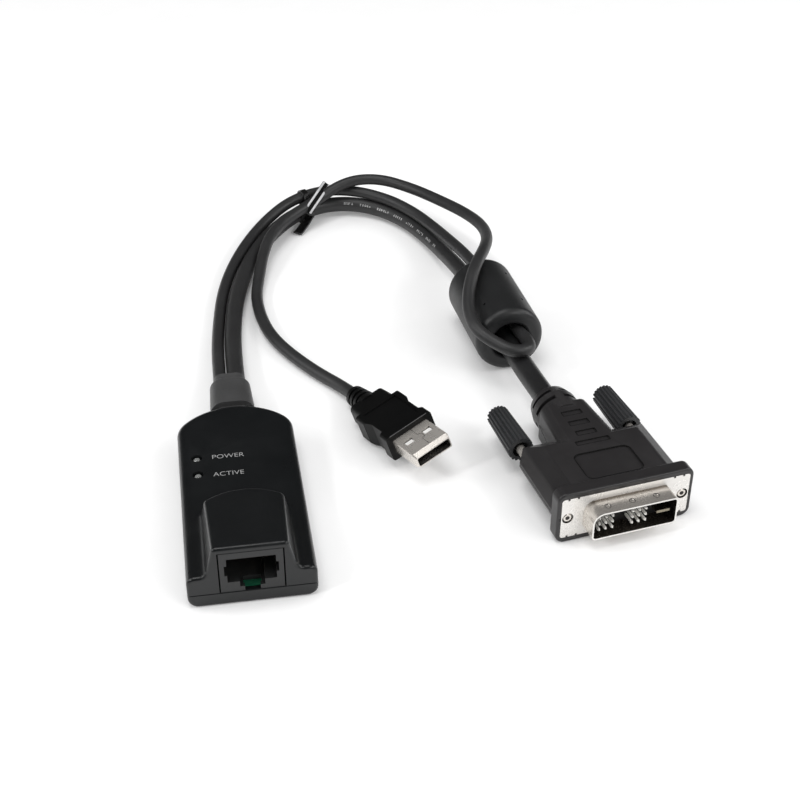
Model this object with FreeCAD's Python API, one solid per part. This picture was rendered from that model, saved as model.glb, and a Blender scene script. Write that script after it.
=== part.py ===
"""A KVM interface dongle: a small case with a network jack, and two captive cords that
end in a video plug and a USB plug.

Millimetres, +Z up.  The origin is the middle of the case's underside.  +Y runs along the
case from the jack face to the cord end, and every piece lies as it rests on a table.
"""
import FreeCAD
import Part
import math
import os

V = FreeCAD.Vector
Rotation = FreeCAD.Rotation
Placement = FreeCAD.Placement
X_AXIS, Y_AXIS, Z_AXIS = V(1, 0, 0), V(0, 1, 0), V(0, 0, 1)

# ---------------------------------------------------------------- driving sizes
# Case
CASE_LENGTH = 74.4
CASE_WIDTH = 32.8
DECK_HEIGHT = 9.5            # flat top of the case
BASE_HEIGHT = 4.0            # parting line between the two shells
WALL = 1.5
END_ARC_RADIUS = 19.0        # cord end, seen from above
SHOULDER_RADIUS = 8.0
DECK_EDGE_RADIUS = 2.2
BASE_EDGE_RADIUS = 2.7
FACE_EDGE_RADIUS = 0.9
PARTING_CHAMFER = 0.15
LIP_HEIGHT = 0.9             # tongue of the base inside the top cover
LIP_THICKNESS = 0.7
LIP_CLEARANCE = 0.05

# Hood over the jack
HOOD_HEIGHT = 18.4           # top edge at the jack face
HOOD_TOP_WIDTH = 18.8        # across the slanted top at the jack face
HOOD_DEPTH = 28.2            # jack face to the crown of the curved back wall
HOOD_DRAFT = 0.25            # sideways lean of each side wall per mm of height
HOOD_SLOPE = 0.15            # fall of the top per mm along the case
HOOD_BACK_RADIUS = 15.5
HOOD_CORNER_RADIUS = 2.0
HOOD_FOOT_RADIUS = 2.2
HOOD_TOP_EDGE_RADIUS = 1.1
DECK_LEDGE_FLAT = 0.1        # least flat between the hood's foot and the deck's rounded edge

# Modular jack
JACK_WIDTH = 16.0
JACK_HEIGHT = 12.35
JACK_DEPTH = 14.0
JACK_SETBACK = 0.2           # face behind the case's face
JACK_GAP = 0.35              # jack to the opening, each side and above
JACK_TOP_FLAT = 3.4          # depth of the full-height front of the jack
JACK_CAVITY_DEPTH = 10.6
JACK_CAVITY_TOP = 1.85       # wall over the cavity
JACK_MOUTH_WIDTH = 12.3
JACK_MOUTH_HEIGHT = 7.4
JACK_KEY_WIDTH = 13.6
JACK_KEY_HEIGHT = 3.1
JACK_KEY_DROP = 2.15
JACK_LATCH_WIDTH = 6.25
JACK_LATCH_HEIGHT = 1.7
JACK_NOTCH_WIDTH = 3.9
JACK_WINDOW_WIDTH = 4.6      # open floor behind the latch notch
JACK_WINDOW_DEPTH = 2.6
CONTACT_COUNT = 8
CONTACT_PITCH = 1.016
CONTACT_WIDTH = 0.45
CONTACT_THICKNESS = 0.3
CONTACT_FALL = 2.9
CONTACT_REACH = 6.9

# Circuit board and what stands on it
BOARD_THICKNESS = 1.6
BOARD_GAP = 0.25             # board edge to the shell
BOARD_END_GAP = 6.5          # cord end of the case to the board's end
BOARD_POST_RADIUS = 1.6
BOARD_POST_GAP = 1.0         # post to the case's side wall
BOARD_POSTS_FROM_FACE = (25.0, 47.0)
LIGHT_FROM_SIDE = 5.0        # the case's left side to the lamps' axes
LIGHT_PITCH = 7.4
LIGHT_FIRST_FROM_FACE = 42.2
LIGHT_RADIUS = 1.15
LIGHT_FLANGE_RADIUS = 1.45
LIGHT_FLANGE_HEIGHT = 1.0
LIGHT_BELOW_DECK = 0.15
LIGHT_HOLE_RADIUS = 1.5
SCREW_FROM_SIDE = 4.1
SCREWS_FROM_FACE = (7.0, 57.4)
SCREW_RADIUS = 0.85
SCREW_HEAD_RADIUS = 1.75
SCREW_HEAD_HEIGHT = 1.0
SCREW_LENGTH = 6.6
SCREW_HEAD_SINK = 0.3
SCREW_CLEARANCE = 0.15
BOSS_RADIUS = 2.1
CHIP_HEIGHT = 1.2
# Each chip: width, length, x of its middle, its middle from the jack face, height
NETWORK_TRANSFORMER = (9.0, 6.5, 0.0, 21.0, 2.2)
MAIN_CHIP = (12.0, 12.0, 1.0, 34.0, CHIP_HEIGHT)
VIDEO_CHIP = (7.0, 7.0, -3.5, 51.5, CHIP_HEIGHT)
MEMORY_CHIP = (6.0, 8.0, 8.6, 45.5, CHIP_HEIGHT)
CRYSTAL = (3.2, 5.0, -5.4, 43.0, CHIP_HEIGHT)
CAPACITOR_WIDTH = 1.6
CAPACITOR_LENGTH = 3.2
CAPACITOR_HEIGHT = 1.4
CAPACITOR_PLACES = ((-9.5, 22.0), (-9.5, 26.5), (9.5, 30.5), (9.5, 35.0), (4.5, 52.0),
                    (8.5, 52.0))          # x, and from the jack face

# Cord boot
BOOT_GAP = 1.4               # case end to the boot's front rim
BOOT_LENGTH = 17.4
BOOT_FRONT_WIDTH = 13.2
BOOT_FRONT_HEIGHT = 8.8
BOOT_SHOULDER = 14.4          # length of the wide part
BOOT_BACK_WIDTH = 12.0
BOOT_BACK_HEIGHT = 7.8
BOOT_TAIL_WIDTH = 9.9
BOOT_TAIL_HEIGHT = 6.0
BOOT_AXIS_HEIGHT = 5.0
BOOT_END_RADIUS = 1.6
NECK_WIDTH = 9.4
NECK_HEIGHT = 5.6
NECK_CLEARANCE = 0.1
NECK_SLOT_DEPTH = 8.0        # of the slot in the shells, from the case's cord end
ANCHOR_WIDTH = 12.4
ANCHOR_HEIGHT = 5.8
ANCHOR_THICKNESS = 2.0

# Cords
VIDEO_CORD_DIAMETER = 5.4
USB_CORD_DIAMETER = 3.9
SLEEVE_DIAMETER = 6.7
CORD_SPACING = 4.95          # between the two cords where they leave the boot

# Ferrite choke
FERRITE_RADIUS = 10.73
FERRITE_LENGTH = 34.8
FERRITE_BORE_RADIUS = 5.85
FERRITE_JACKET = 1.4
FERRITE_RIM_RADIUS = 2.4
FERRITE_MOUTH_RADIUS = 1.0
FERRITE_FRONT = (87.07, 55.57)
FERRITE_TURN = 4.56          # degrees anticlockwise from +Y, seen from above
CORE_BORE_CLEARANCE = 0.6    # jacket wall inside the core's bore
PIN_HOLE_RADIUS = 0.45
PIN_HOLE_DEPTH = 0.8

# Cord tie
TIE_WIDTH = 3.6
TIE_THICKNESS = 0.6
TIE_RIDGE = 0.25
TIE_PLACE = (40.0, 168.0)
TIE_TURN = 10.0
TIE_ROUND = ((2.9, 8.8, 2.35), (-2.8, 9.1, 3.15), (0.2, 4.05, 3.05))
LOOP_BACK = 5.0              # second turn, round the two cords from the boot
LOOP_WIDTH = 2.2
LOOP_ROUND = ((2.05, 8.45, 2.4), (-0.9, 3.95, 3.05))
TAIL_START = (-1.6, -4.9, 5.0)
TAIL_END = (-7.0, -8.8, 1.2)

# Video plug, in its own frame: y = 0 at the metal plate's face, +y towards the cord
VIDEO_PLUG_PLACE = (99.62, -24.89)
VIDEO_PLUG_TURN = 9.18
FLANGE_WIDTH = 39.4
FLANGE_HEIGHT = 16.0
FLANGE_DEPTH = 4.2
FLANGE_CORNER_RADIUS = 2.6
FLANGE_EDGE_RADIUS = 0.6
BODY_HEIGHT = 12.9
BODY_LENGTH = 28.5
BODY_SECTION = ((14.2, 6.45, 2.5), (18.0, 4.1, 1.6), (19.7, 0.7, 0.6))   # half width, height
BODY_BACK_FALL = ((23.4, 6.45), (28.5, 3.2))   # y and half height of the sloping rear edge
BODY_BACK_CORNER = 2.5
BODY_EDGE_RADIUS = 2.6
PLUG_NECK_FRONT_WIDTH = 18.0
PLUG_NECK_BACK_WIDTH = 14.4
PLUG_NECK_END = 41.0
COLLAR_START = 39.0
COLLAR_END = 50.5
COLLAR_RADIUS = 6.9
COLLAR_END_RADIUS = 5.9
SLOT_WIDTH = 1.3
SLOT_DEPTH = 1.6
SLOT_PITCH = 3.5
SLOT_FIRST = 43.2
SLOT_BRIDGE = 2.6
RECESS_DEPTH = 0.35
LABEL_WIDTH = 16.6
LABEL_LENGTH = 11.2
LABEL_START = 5.8
LABEL_RADIUS = 2.0
BAR_WIDTH = 10.0
BAR_LENGTH = 1.8
BAR_START = 20.6
RIB_COUNT = 3
RIB_WIDTH = 5.9
RIB_LENGTH = 2.1
RIB_START = 24.8
RIB_PITCH = 4.8
PLATE_WIDTH = 37.1
PLATE_HEIGHT = 12.6
PLATE_THICKNESS = 0.5
PLATE_CORNER_RADIUS = 0.8
PLATE_CLEARANCE = 0.05
SHELL_WIDTH = 24.4
SHELL_HEIGHT = 8.4
SHELL_REACH = 5.9
SHELL_WALL = 0.45
SHELL_LARGE_RADIUS = 3.2
SHELL_SMALL_RADIUS = 1.2
DIMPLE_PITCH = 7.0
PIN_PITCH = 1.905
PIN_RADIUS = 0.4
PIN_REACH = 5.0
PIN_FACE = 1.0               # insulator face in front of the plate
FIRST_PIN_X = -9.8
BLADE_X = 8.5
BLADE_WIDTH = 3.8
BLADE_THICKNESS = 0.8
INSULATOR_BACK = 3.6         # insulator behind the plate's face
INSULATOR_CLEARANCE = 0.05
JACKSCREW_SPACING = 33.32
JACKSCREW_TIP_RADIUS = 1.42
JACKSCREW_SHAFT_RADIUS = 1.3
JACKSCREW_BORE_RADIUS = 1.55
JACKSCREW_TIP_SETBACK = 0.15
JACKSCREW_TIP_LENGTH = 3.1
JACKSCREW_END = 45.0
CLIP_THICKNESS = 0.45
CLIP_RADIUS = 2.05
CLIP_SEAT_RADIUS = 0.95
CLIP_CLEARANCE = 0.05
CLIP_GAP = 1.4
CLIP_POCKET_RADIUS = 2.3
JACKSCREW_TRAVEL = 2.75
KNOB_START = 31.8
KNOB_LENGTH = 17.6
KNOB_FRONT_RADIUS = 3.75
KNOB_BACK_RADIUS = 3.3
KNOB_FLUTES = 18
KNOB_FLUTE_DEPTH = 0.45
KNOB_SLOT_WIDTH = 1.2
KNOB_SLOT_DEPTH = 1.4
KNOB_RECESS_RADIUS = 2.4
KNOB_RECESS_DEPTH = 1.6

# USB plug, in its own frame: y = 0 at the shell's mouth, z = 0 at the shell's underside
USB_PLACE = (54.04, 3.4)
USB_TURN = 21.7
USB_NOSE_UP = 9.5
USB_ROLL = 15.7
USB_SHELL_WIDTH = 12.0
USB_SHELL_HEIGHT = 4.5
USB_SHELL_WALL = 0.3
USB_SHELL_REACH = 11.75
USB_SHELL_BURIED = 7.0
USB_LIP_LENGTH = 1.2
USB_LIP_TOP_DROP = 0.95
USB_LIP_SIDE = 0.3
USB_WINDOW_X = 3.1
USB_WINDOW_Y = 7.2
USB_WINDOW_WIDTH = 2.7
USB_WINDOW_LENGTH = 2.2
USB_TONGUE_SETBACK = 2.2
USB_TONGUE_HEIGHT = 1.85
USB_TONGUE_CLEARANCE = 0.05
USB_CONTACT_WIDTH = 1.0
USB_CONTACT_THICKNESS = 0.2
USB_CONTACT_XS = (-3.5, -1.0, 1.0, 3.5)
USB_COVER_WIDTH = 15.6
USB_COVER_HEIGHT = 8.0
USB_BLOCK_LENGTH = 17.5
USB_BACK_WIDTH = 12.6
USB_BACK_END_WIDTH = 12.0
USB_BACK_HEIGHT = 7.2
USB_BACK_LENGTH = 7.0
USB_PANEL_WIDTH = 11.4
USB_PANEL_START = 2.8
USB_PANEL_DEPTH = 0.35
USB_GRIP_DEPTH = 1.3
USB_GRIP_START = 3.6
USB_GRIP_LENGTH = 9.6
USB_BOOT_LENGTH = 8.5
USB_BOOT_FRONT_RADIUS = 4.0
USB_BOOT_BACK_RADIUS = 3.2
USB_BOOT_RING_DEPTH = 0.6

# ---------------------------------------------------------------- cord routes
# Each list of points is a route laid by hand: a straight run leads to each point and an
# arc turns it there.
VIDEO_ROUTE = [
    (2.1, 51.5, 4.9), (2.2, 73, 3.9), (3.5, 92.7, 2.9), (5.7, 109.5, 2.75), (9.3, 124.8, 2.75),
    (14.6, 139.7, 2.75), (22, 154.1, 2.9), (32, 165.3, 3.8), (46, 170.5, 4.2), (60, 166.7, 3.7),
    (70.2, 155.7, 3.1), (76, 141.5, 3.1), (79.3, 126.5, 4.3), (81.5, 111, 6.6),
    (83.5, 95.5, 8.1), (84.9, 79, 8.35), (86.3, 63.5, 8.35), (87.9, 49.5, 8.3), (90, 34.7, 8),
    (92.4, 19.8, 8),
]
USB_ROUTE = [
    (-2.85, 51.5, 4.9), (-2.75, 73, 3.6), (-1.3, 93, 2.4), (1.1, 113, 2.1), (5.2, 129.5, 2.4),
    (11.4, 144.7, 3.5), (19, 157.1, 5.2), (29.4, 167.1, 8), (42, 172.1, 9),
    (54.5, 170.5, 8.6), (65.8, 162.3, 8.1), (73.4, 151.1, 7.7), (78.2, 138, 8.1),
    (81.2, 124, 9.9), (83.6, 110, 12.1), (85.5, 96, 13.3), (87.3, 80, 13.5), (88.8, 67, 13.35),
    (89.3, 59.8, 12.95), (91.5, 51, 12.9), (90.6, 45.8, 13.4), (85.4, 44.4, 13.9),
    (81, 48, 14.8), (76, 52.9, 16.8), (74.7, 60.3, 18.2), (76, 69.1, 20.6), (80.2, 79.5, 24.4),
    (86.2, 92, 23.4), (90.2, 105, 20.6), (91, 118.5, 18.2), (88.2, 133, 15.6),
    (82.4, 147.7, 13.4), (74.2, 161.5, 12.4), (62.8, 169.7, 13.4), (50.6, 169.9, 13),
    (38.6, 164.8, 8.2), (28, 155.5, 7.4), (20.4, 144.7, 6.7), (16.6, 132.9, 5.3),
    (14.1, 120.9, 2.7), (12.2, 109.5, 2.1), (12.8, 95.5, 2.1), (15.4, 83, 2.1),
    (20.6, 71.5, 2.1), (27.4, 60.1, 2.1), (34.5, 50.9, 2.05), (38.5, 40.8, 3.9),
]
SLEEVE_RUNS = 7               # arcs and runs at the end of the video route under the sleeve


# ---------------------------------------------------------------- helpers
def plane_point(u, v, plane):
    """A point of a flat outline: plane is "XY", "XZ" or "YZ"."""
    return {"XY": V(u, v, 0), "XZ": V(u, 0, v), "YZ": V(0, u, v)}[plane]


def rounded_face(corners, plane="XY"):
    """A flat face through (u, v, radius) corners, each rounded by its radius."""
    points = [plane_point(u, v, plane) for u, v, _ in corners]
    edges, starts, ends = [], [], []
    for i, (_, _, radius) in enumerate(corners):
        here, before, after = points[i], points[i - 1], points[(i + 1) % len(points)]
        back, forth = (before - here).normalize(), (after - here).normalize()
        half = back.getAngle(forth) / 2
        run = radius / math.tan(half)
        starts.append(here + back * run)
        ends.append(here + forth * run)
        if radius:
            middle = (back + forth).normalize()
            inner = here + middle * (radius / math.sin(half) - radius)
            edges.append((Part.Arc(starts[i], inner, ends[i]).toShape(), i))
    outline = []
    arcs = {i: edge for edge, i in edges}
    for i in range(len(points)):
        if i in arcs:
            outline.append(arcs[i])
        following = starts[(i + 1) % len(points)]
        if (following - ends[i]).Length > 1e-6:
            outline.append(Part.LineSegment(ends[i], following).toShape())
    return Part.Face(Part.Wire(Part.__sortEdges__(outline)))


def rectangle(width, height, radius, plane="XY", centre=(0, 0)):
    """A rounded rectangle face."""
    u, v = centre
    a, b = width / 2, height / 2
    return rounded_face([(u - a, v - b, radius), (u + a, v - b, radius),
                         (u + a, v + b, radius), (u - a, v + b, radius)], plane)


def moved(shape, x=0, y=0, z=0):
    copy = shape.copy()
    copy.translate(V(x, y, z))
    return copy


def placed_at(shape, placement):
    copy = shape.copy()
    copy.Placement = placement.multiply(copy.Placement)
    return copy


def box(x0, x1, y0, y1, z0, z1):
    return Part.makeBox(x1 - x0, y1 - y0, z1 - z0, V(x0, y0, z0))


def rod(radius, start, length, axis=Z_AXIS):
    return Part.makeCylinder(radius, length, V(*start), axis)


def prism(face, along):
    return face.extrude(V(*along))


def mirrored(shape):
    return shape.mirror(V(0, 0, 0), X_AXIS)


def edges_where(shape, test):
    return [edge for edge in shape.Edges if test(edge)]


def save(shape, name):
    shape.exportStep("parts/%s.step" % name)


# ---------------------------------------------------------------- case shells
FACE_Y = -CASE_LENGTH / 2
END_Y = CASE_LENGTH / 2


def case_plan(inset):
    """The case's outline from above, inset by a wall: flat front, curved cord end."""
    half = CASE_WIDTH / 2 - inset
    radius = END_ARC_RADIUS - inset
    centre_y = END_Y - END_ARC_RADIUS
    side_y = centre_y + math.sqrt(radius ** 2 - half ** 2)
    a, b = V(-half, FACE_Y + inset, 0), V(half, FACE_Y + inset, 0)
    c, d = V(half, side_y, 0), V(-half, side_y, 0)
    arc = Part.Arc(c, V(0, centre_y + radius, 0), d).toShape()
    lines = [Part.LineSegment(a, b).toShape(), Part.LineSegment(b, c).toShape(), arc,
             Part.LineSegment(d, a).toShape()]
    return Part.Face(Part.Wire(lines))


def case_prism(inset, low, high):
    """The case's plan pulled up from low to high, with its shoulders rounded."""
    block = moved(prism(case_plan(inset), (0, 0, high - low)), z=low)
    shoulders = edges_where(block, lambda e: abs(e.Vertexes[0].X - e.Vertexes[-1].X) < 1e-6
                            and abs(e.Vertexes[0].Y - e.Vertexes[-1].Y) < 1e-6
                            and e.Vertexes[0].Y > 0)
    return block.makeFillet(SHOULDER_RADIUS - inset, shoulders)


def hood_block(inset):
    """The hood over the jack: leaning sides, curved back wall, slanted top."""
    foot_z = BASE_HEIGHT
    top_z = HOOD_HEIGHT + 1

    def section(z):
        lean = HOOD_DRAFT * (HOOD_HEIGHT - z)
        half = HOOD_TOP_WIDTH / 2 + lean - inset
        back = FACE_Y + HOOD_DEPTH - inset + lean * 0.3
        radius = HOOD_BACK_RADIUS
        centre_y = back - radius
        side_y = centre_y + math.sqrt(radius ** 2 - half ** 2)
        front = FACE_Y + (inset if inset else 0)
        a, b = V(-half, front, z), V(half, front, z)
        c, d = V(half, side_y, z), V(-half, side_y, z)
        arc = Part.Arc(c, V(0, back, z), d).toShape()
        return Part.Wire([Part.LineSegment(a, b).toShape(), Part.LineSegment(b, c).toShape(),
                          arc, Part.LineSegment(d, a).toShape()])

    block = Part.makeLoft([section(foot_z), section(top_z)], True, True)
    corners = edges_where(block, lambda e: abs(e.Vertexes[0].Z - e.Vertexes[-1].Z) > 5
                          and min(v.Y for v in e.Vertexes) > FACE_Y + 10)
    block = block.makeFillet(HOOD_CORNER_RADIUS, corners)
    slant = Part.makeBox(60, 80, 30, V(-30, -10, 0))
    slant.Placement = Placement(V(0, FACE_Y, HOOD_HEIGHT - inset),
                                Rotation(X_AXIS, -math.degrees(math.atan(HOOD_SLOPE))))
    return block.cut(slant)


def hood_foot_radius():
    """The fillet at the hood's foot, held back where the ledge beside the hood is narrow."""
    foot_width = HOOD_TOP_WIDTH + 2 * HOOD_DRAFT * (HOOD_HEIGHT - DECK_HEIGHT)
    ledge = (CASE_WIDTH - foot_width) / 2 - DECK_EDGE_RADIUS - DECK_LEDGE_FLAT
    return min(HOOD_FOOT_RADIUS, ledge)


def top_outer():
    """The top cover's outside, with every edge rounded."""
    body = case_prism(0, BASE_HEIGHT, DECK_HEIGHT).fuse(hood_block(0)).removeSplitter()
    on_deck = edges_where(body, lambda e: all(abs(v.Z - DECK_HEIGHT) < 1e-5 for v in e.Vertexes)
                          and e.BoundBox.XMax < CASE_WIDTH / 2 - 1
                          and e.BoundBox.XMin > -CASE_WIDTH / 2 + 1
                          and e.BoundBox.YMax < FACE_Y + HOOD_DEPTH + 5
                          and e.BoundBox.YMax > FACE_Y + 1)
    body = body.makeFillet(hood_foot_radius(), on_deck)
    rim = edges_where(body, lambda e: all(abs(v.Z - DECK_HEIGHT) < 1e-5 for v in e.Vertexes)
                      and (e.BoundBox.XMax > CASE_WIDTH / 2 - 1e-3
                           or e.BoundBox.XMin < -CASE_WIDTH / 2 + 1e-3
                           or e.BoundBox.YMax > END_Y - 1e-3)
                      and e.BoundBox.YMax > FACE_Y + 1)
    body = body.makeFillet(DECK_EDGE_RADIUS, rim)
    slope = HOOD_SLOPE
    crown = edges_where(body, lambda e: all(
        abs(v.Z - (HOOD_HEIGHT - slope * (v.Y - FACE_Y))) < 1e-4 for v in e.Vertexes)
        and e.BoundBox.YMax > FACE_Y + 1)
    body = body.makeFillet(HOOD_TOP_EDGE_RADIUS, crown)
    face_edges = edges_where(body, lambda e: e.BoundBox.YMax < FACE_Y + 1e-4
                             and e.BoundBox.ZMax > BASE_HEIGHT + 1e-3)
    return body.makeFillet(FACE_EDGE_RADIUS, face_edges)


def base_outer():
    """The base's outside: rounded underside edges and front corners."""
    body = case_prism(0, 0, BASE_HEIGHT)
    rim = edges_where(body, lambda e: e.BoundBox.ZMax < 1e-5 and e.BoundBox.YMax > FACE_Y + 1)
    body = body.makeFillet(BASE_EDGE_RADIUS, rim)
    face_edges = edges_where(body, lambda e: e.BoundBox.YMax < FACE_Y + 1e-4
                             and e.BoundBox.ZMin < BASE_HEIGHT - 1e-3)
    return body.makeFillet(FACE_EDGE_RADIUS, face_edges)


def parting_cut(z, sign):
    """A thin wedge off the outer edge at the parting line."""
    ring = case_prism(-1, min(z, z + sign * PARTING_CHAMFER), max(z, z + sign * PARTING_CHAMFER))
    return ring.cut(case_prism(PARTING_CHAMFER, z - 1, z + 1))


def screw_places():
    x = CASE_WIDTH / 2 - SCREW_FROM_SIDE
    return [(side * x, FACE_Y + y) for y in SCREWS_FROM_FACE for side in (-1, 1)]


def light_places():
    x, first = LIGHT_FROM_SIDE - CASE_WIDTH / 2, FACE_Y + LIGHT_FIRST_FROM_FACE
    return [(x, first), (x, first + LIGHT_PITCH)]


def jack_opening():
    half = JACK_WIDTH / 2 + JACK_GAP
    low, high = BASE_HEIGHT - 1e-3, BASE_HEIGHT + JACK_HEIGHT + JACK_GAP
    front, flat, rear = FACE_Y - 1, FACE_Y + JACK_SETBACK + JACK_TOP_FLAT, FACE_Y + JACK_DEPTH
    side = rounded_face([(front, low, 0), (rear, low, 0),
                         (rear, high - HOOD_SLOPE * (rear - flat), 0), (flat, high, 0),
                         (front, high, 0)], "YZ")
    return moved(prism(side, (2 * half, 0, 0)), x=-half)


def neck_opening():
    """The slot in the cord end that holds the boot's neck."""
    depth = NECK_SLOT_DEPTH
    face = rectangle(NECK_WIDTH + 2 * NECK_CLEARANCE, NECK_HEIGHT + 2 * NECK_CLEARANCE, 2.0,
                     "XZ", (0, BOOT_AXIS_HEIGHT))
    return moved(prism(face, (0, depth, 0)), y=END_Y - depth + 1)


def top_cover():
    shell = top_outer()
    room = case_prism(WALL, BASE_HEIGHT - 1, DECK_HEIGHT - WALL)
    room = room.fuse(hood_block(WALL).cut(box(-30, 30, -60, 60, -5, DECK_HEIGHT - WALL - 0.5)))
    shell = shell.cut(room)
    lip_room = case_prism(WALL - LIP_THICKNESS - LIP_CLEARANCE, BASE_HEIGHT - 1,
                          BASE_HEIGHT + LIP_HEIGHT + LIP_CLEARANCE)
    shell = shell.cut(lip_room)
    shell = shell.cut(jack_opening())
    shell = shell.cut(neck_opening())
    shell = shell.cut(parting_cut(BASE_HEIGHT, 1))
    for x, y in screw_places():
        boss_low = BASE_HEIGHT + LIP_HEIGHT
        boss = rod(BOSS_RADIUS, (x, y, BASE_HEIGHT), DECK_HEIGHT - WALL / 2 - BASE_HEIGHT)
        boss = boss.common(case_prism(WALL / 2, BASE_HEIGHT, DECK_HEIGHT))
        shell = shell.fuse(boss.cut(lip_room.cut(case_prism(WALL, boss_low - 9, boss_low + 9))))
    for x, y in screw_places():
        pilot_top = SCREW_HEAD_SINK + SCREW_LENGTH + 0.4
        shell = shell.cut(rod(SCREW_RADIUS, (x, y, BASE_HEIGHT - 1), pilot_top - BASE_HEIGHT + 1))
    for x, y in light_places():
        shell = shell.cut(rod(LIGHT_HOLE_RADIUS, (x, y, DECK_HEIGHT - 3), 5))
    return shell.removeSplitter()


def bottom_cover():
    shell = base_outer().cut(case_prism(WALL, WALL, BASE_HEIGHT + 1))
    outer = case_prism(WALL - LIP_THICKNESS, BASE_HEIGHT - 0.5, BASE_HEIGHT + LIP_HEIGHT)
    lip = outer.cut(case_prism(WALL, BASE_HEIGHT - 1, BASE_HEIGHT + 5))
    half = JACK_WIDTH / 2 + 1
    lip = lip.cut(box(-half, half, FACE_Y - 1, FACE_Y + 5, 0, 9))
    lip = lip.cut(box(-ANCHOR_WIDTH / 2 - 1, ANCHOR_WIDTH / 2 + 1, END_Y - 8, END_Y + 1, 0, 9))
    shell = shell.fuse(lip)
    shell = shell.cut(neck_opening())
    shell = shell.cut(parting_cut(BASE_HEIGHT, -1))
    board_low = BASE_HEIGHT - BOARD_THICKNESS
    for x, y in screw_places():
        post = rod(BOSS_RADIUS, (x, y, WALL / 2), BASE_HEIGHT - WALL / 2)
        shell = shell.fuse(post.common(case_prism(WALL / 2, 0, BASE_HEIGHT)))
    for x, y in board_posts():
        shell = shell.fuse(rod(BOARD_POST_RADIUS, (x, y, WALL / 2), board_low - WALL / 2))
    for x, y in screw_places():
        seat = SCREW_HEAD_SINK + SCREW_HEAD_HEIGHT
        shell = shell.cut(rod(SCREW_HEAD_RADIUS + SCREW_CLEARANCE, (x, y, -1), 1 + seat))
        shell = shell.cut(rod(SCREW_RADIUS + SCREW_CLEARANCE, (x, y, -1), 12))
    return shell.removeSplitter()


def board_posts():
    reach = CASE_WIDTH / 2 - WALL - BOARD_POST_RADIUS - BOARD_POST_GAP
    return [(side * reach, FACE_Y + y) for side in (-1, 1) for y in BOARD_POSTS_FROM_FACE]


def cover_screws():
    screws = []
    for x, y in screw_places():
        head = rod(SCREW_HEAD_RADIUS, (x, y, SCREW_HEAD_SINK), SCREW_HEAD_HEIGHT)
        shank = rod(SCREW_RADIUS, (x, y, SCREW_HEAD_SINK), SCREW_LENGTH)
        bit = SCREW_HEAD_RADIUS * 1.3
        screw = head.fuse(shank)
        for width, length in ((0.5, bit), (bit, 0.5)):
            screw = screw.cut(box(x - width / 2, x + width / 2, y - length / 2, y + length / 2,
                                  SCREW_HEAD_SINK - 1, SCREW_HEAD_SINK + 0.5))
        screws.append(screw.removeSplitter())
    return Part.makeCompound(screws)


# ---------------------------------------------------------------- jack and board
def modular_jack():
    half = JACK_WIDTH / 2
    front, low = FACE_Y + JACK_SETBACK, BASE_HEIGHT
    top = low + JACK_HEIGHT
    rear = front + JACK_DEPTH
    fall = HOOD_SLOPE * (JACK_DEPTH - JACK_TOP_FLAT)
    side = rounded_face([(front, low, 0), (rear, low, 0), (rear, top - fall, 0),
                         (front + JACK_TOP_FLAT, top, 0), (front, top, 0)], "YZ")
    jack = moved(prism(side, (JACK_WIDTH, 0, 0)), x=-half)

    def hollow(width, z0, z1, depth):
        return box(-width / 2, width / 2, front - 1, front + depth, z0, z1)

    roof = top - JACK_CAVITY_TOP
    floor = roof - JACK_MOUTH_HEIGHT
    key_top = roof - JACK_KEY_DROP
    jack = jack.cut(hollow(JACK_MOUTH_WIDTH, floor, roof, JACK_CAVITY_DEPTH))
    jack = jack.cut(hollow(JACK_KEY_WIDTH, key_top - JACK_KEY_HEIGHT, key_top, JACK_CAVITY_DEPTH))
    latch_low = floor - JACK_LATCH_HEIGHT
    jack = jack.cut(hollow(JACK_LATCH_WIDTH, latch_low, floor + 1, JACK_CAVITY_DEPTH))
    jack = jack.cut(hollow(JACK_NOTCH_WIDTH, low - 1, latch_low + 1, 1.6))
    window = JACK_WINDOW_WIDTH / 2
    jack = jack.cut(box(-window, window, front + 1.2, front + 1.2 + JACK_WINDOW_DEPTH,
                        low - 1, latch_low + 1))
    return jack.removeSplitter()


def jack_contacts():
    front = FACE_Y + JACK_SETBACK
    roof = BASE_HEIGHT + JACK_HEIGHT - JACK_CAVITY_TOP
    y0, y1 = front + 0.8, front + 2.4
    y2, drop, t = y1 + CONTACT_REACH, CONTACT_FALL, CONTACT_THICKNESS
    profile = rounded_face([(y0, roof, 0), (y1, roof, 0), (y2, roof - drop + t, 0),
                            (y2, roof - drop, 0), (y1 - 0.1, roof - t, 0), (y0, roof - t, 0)],
                           "YZ")
    wires = []
    for i in range(CONTACT_COUNT):
        x = (i - (CONTACT_COUNT - 1) / 2) * CONTACT_PITCH - CONTACT_WIDTH / 2
        wires.append(moved(prism(profile, (CONTACT_WIDTH, 0, 0)), x=x))
    return Part.makeCompound(wires)


def circuit_board():
    low = BASE_HEIGHT - BOARD_THICKNESS
    board = case_prism(WALL + BOARD_GAP, low, BASE_HEIGHT)
    rear = END_Y - BOARD_END_GAP
    board = board.cut(box(-30, 30, rear, END_Y + 1, low - 1, BASE_HEIGHT + 1))
    for x, y in screw_places():
        board = board.cut(rod(BOSS_RADIUS + BOARD_GAP, (x, y, low - 1), BOARD_THICKNESS + 2))
        outward = math.copysign(10, x)
        board = board.cut(box(min(x, x + outward), max(x, x + outward), y - BOSS_RADIUS - BOARD_GAP,
                              y + BOSS_RADIUS + BOARD_GAP, low - 1, BASE_HEIGHT + 1))
    return board.removeSplitter()


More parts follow.
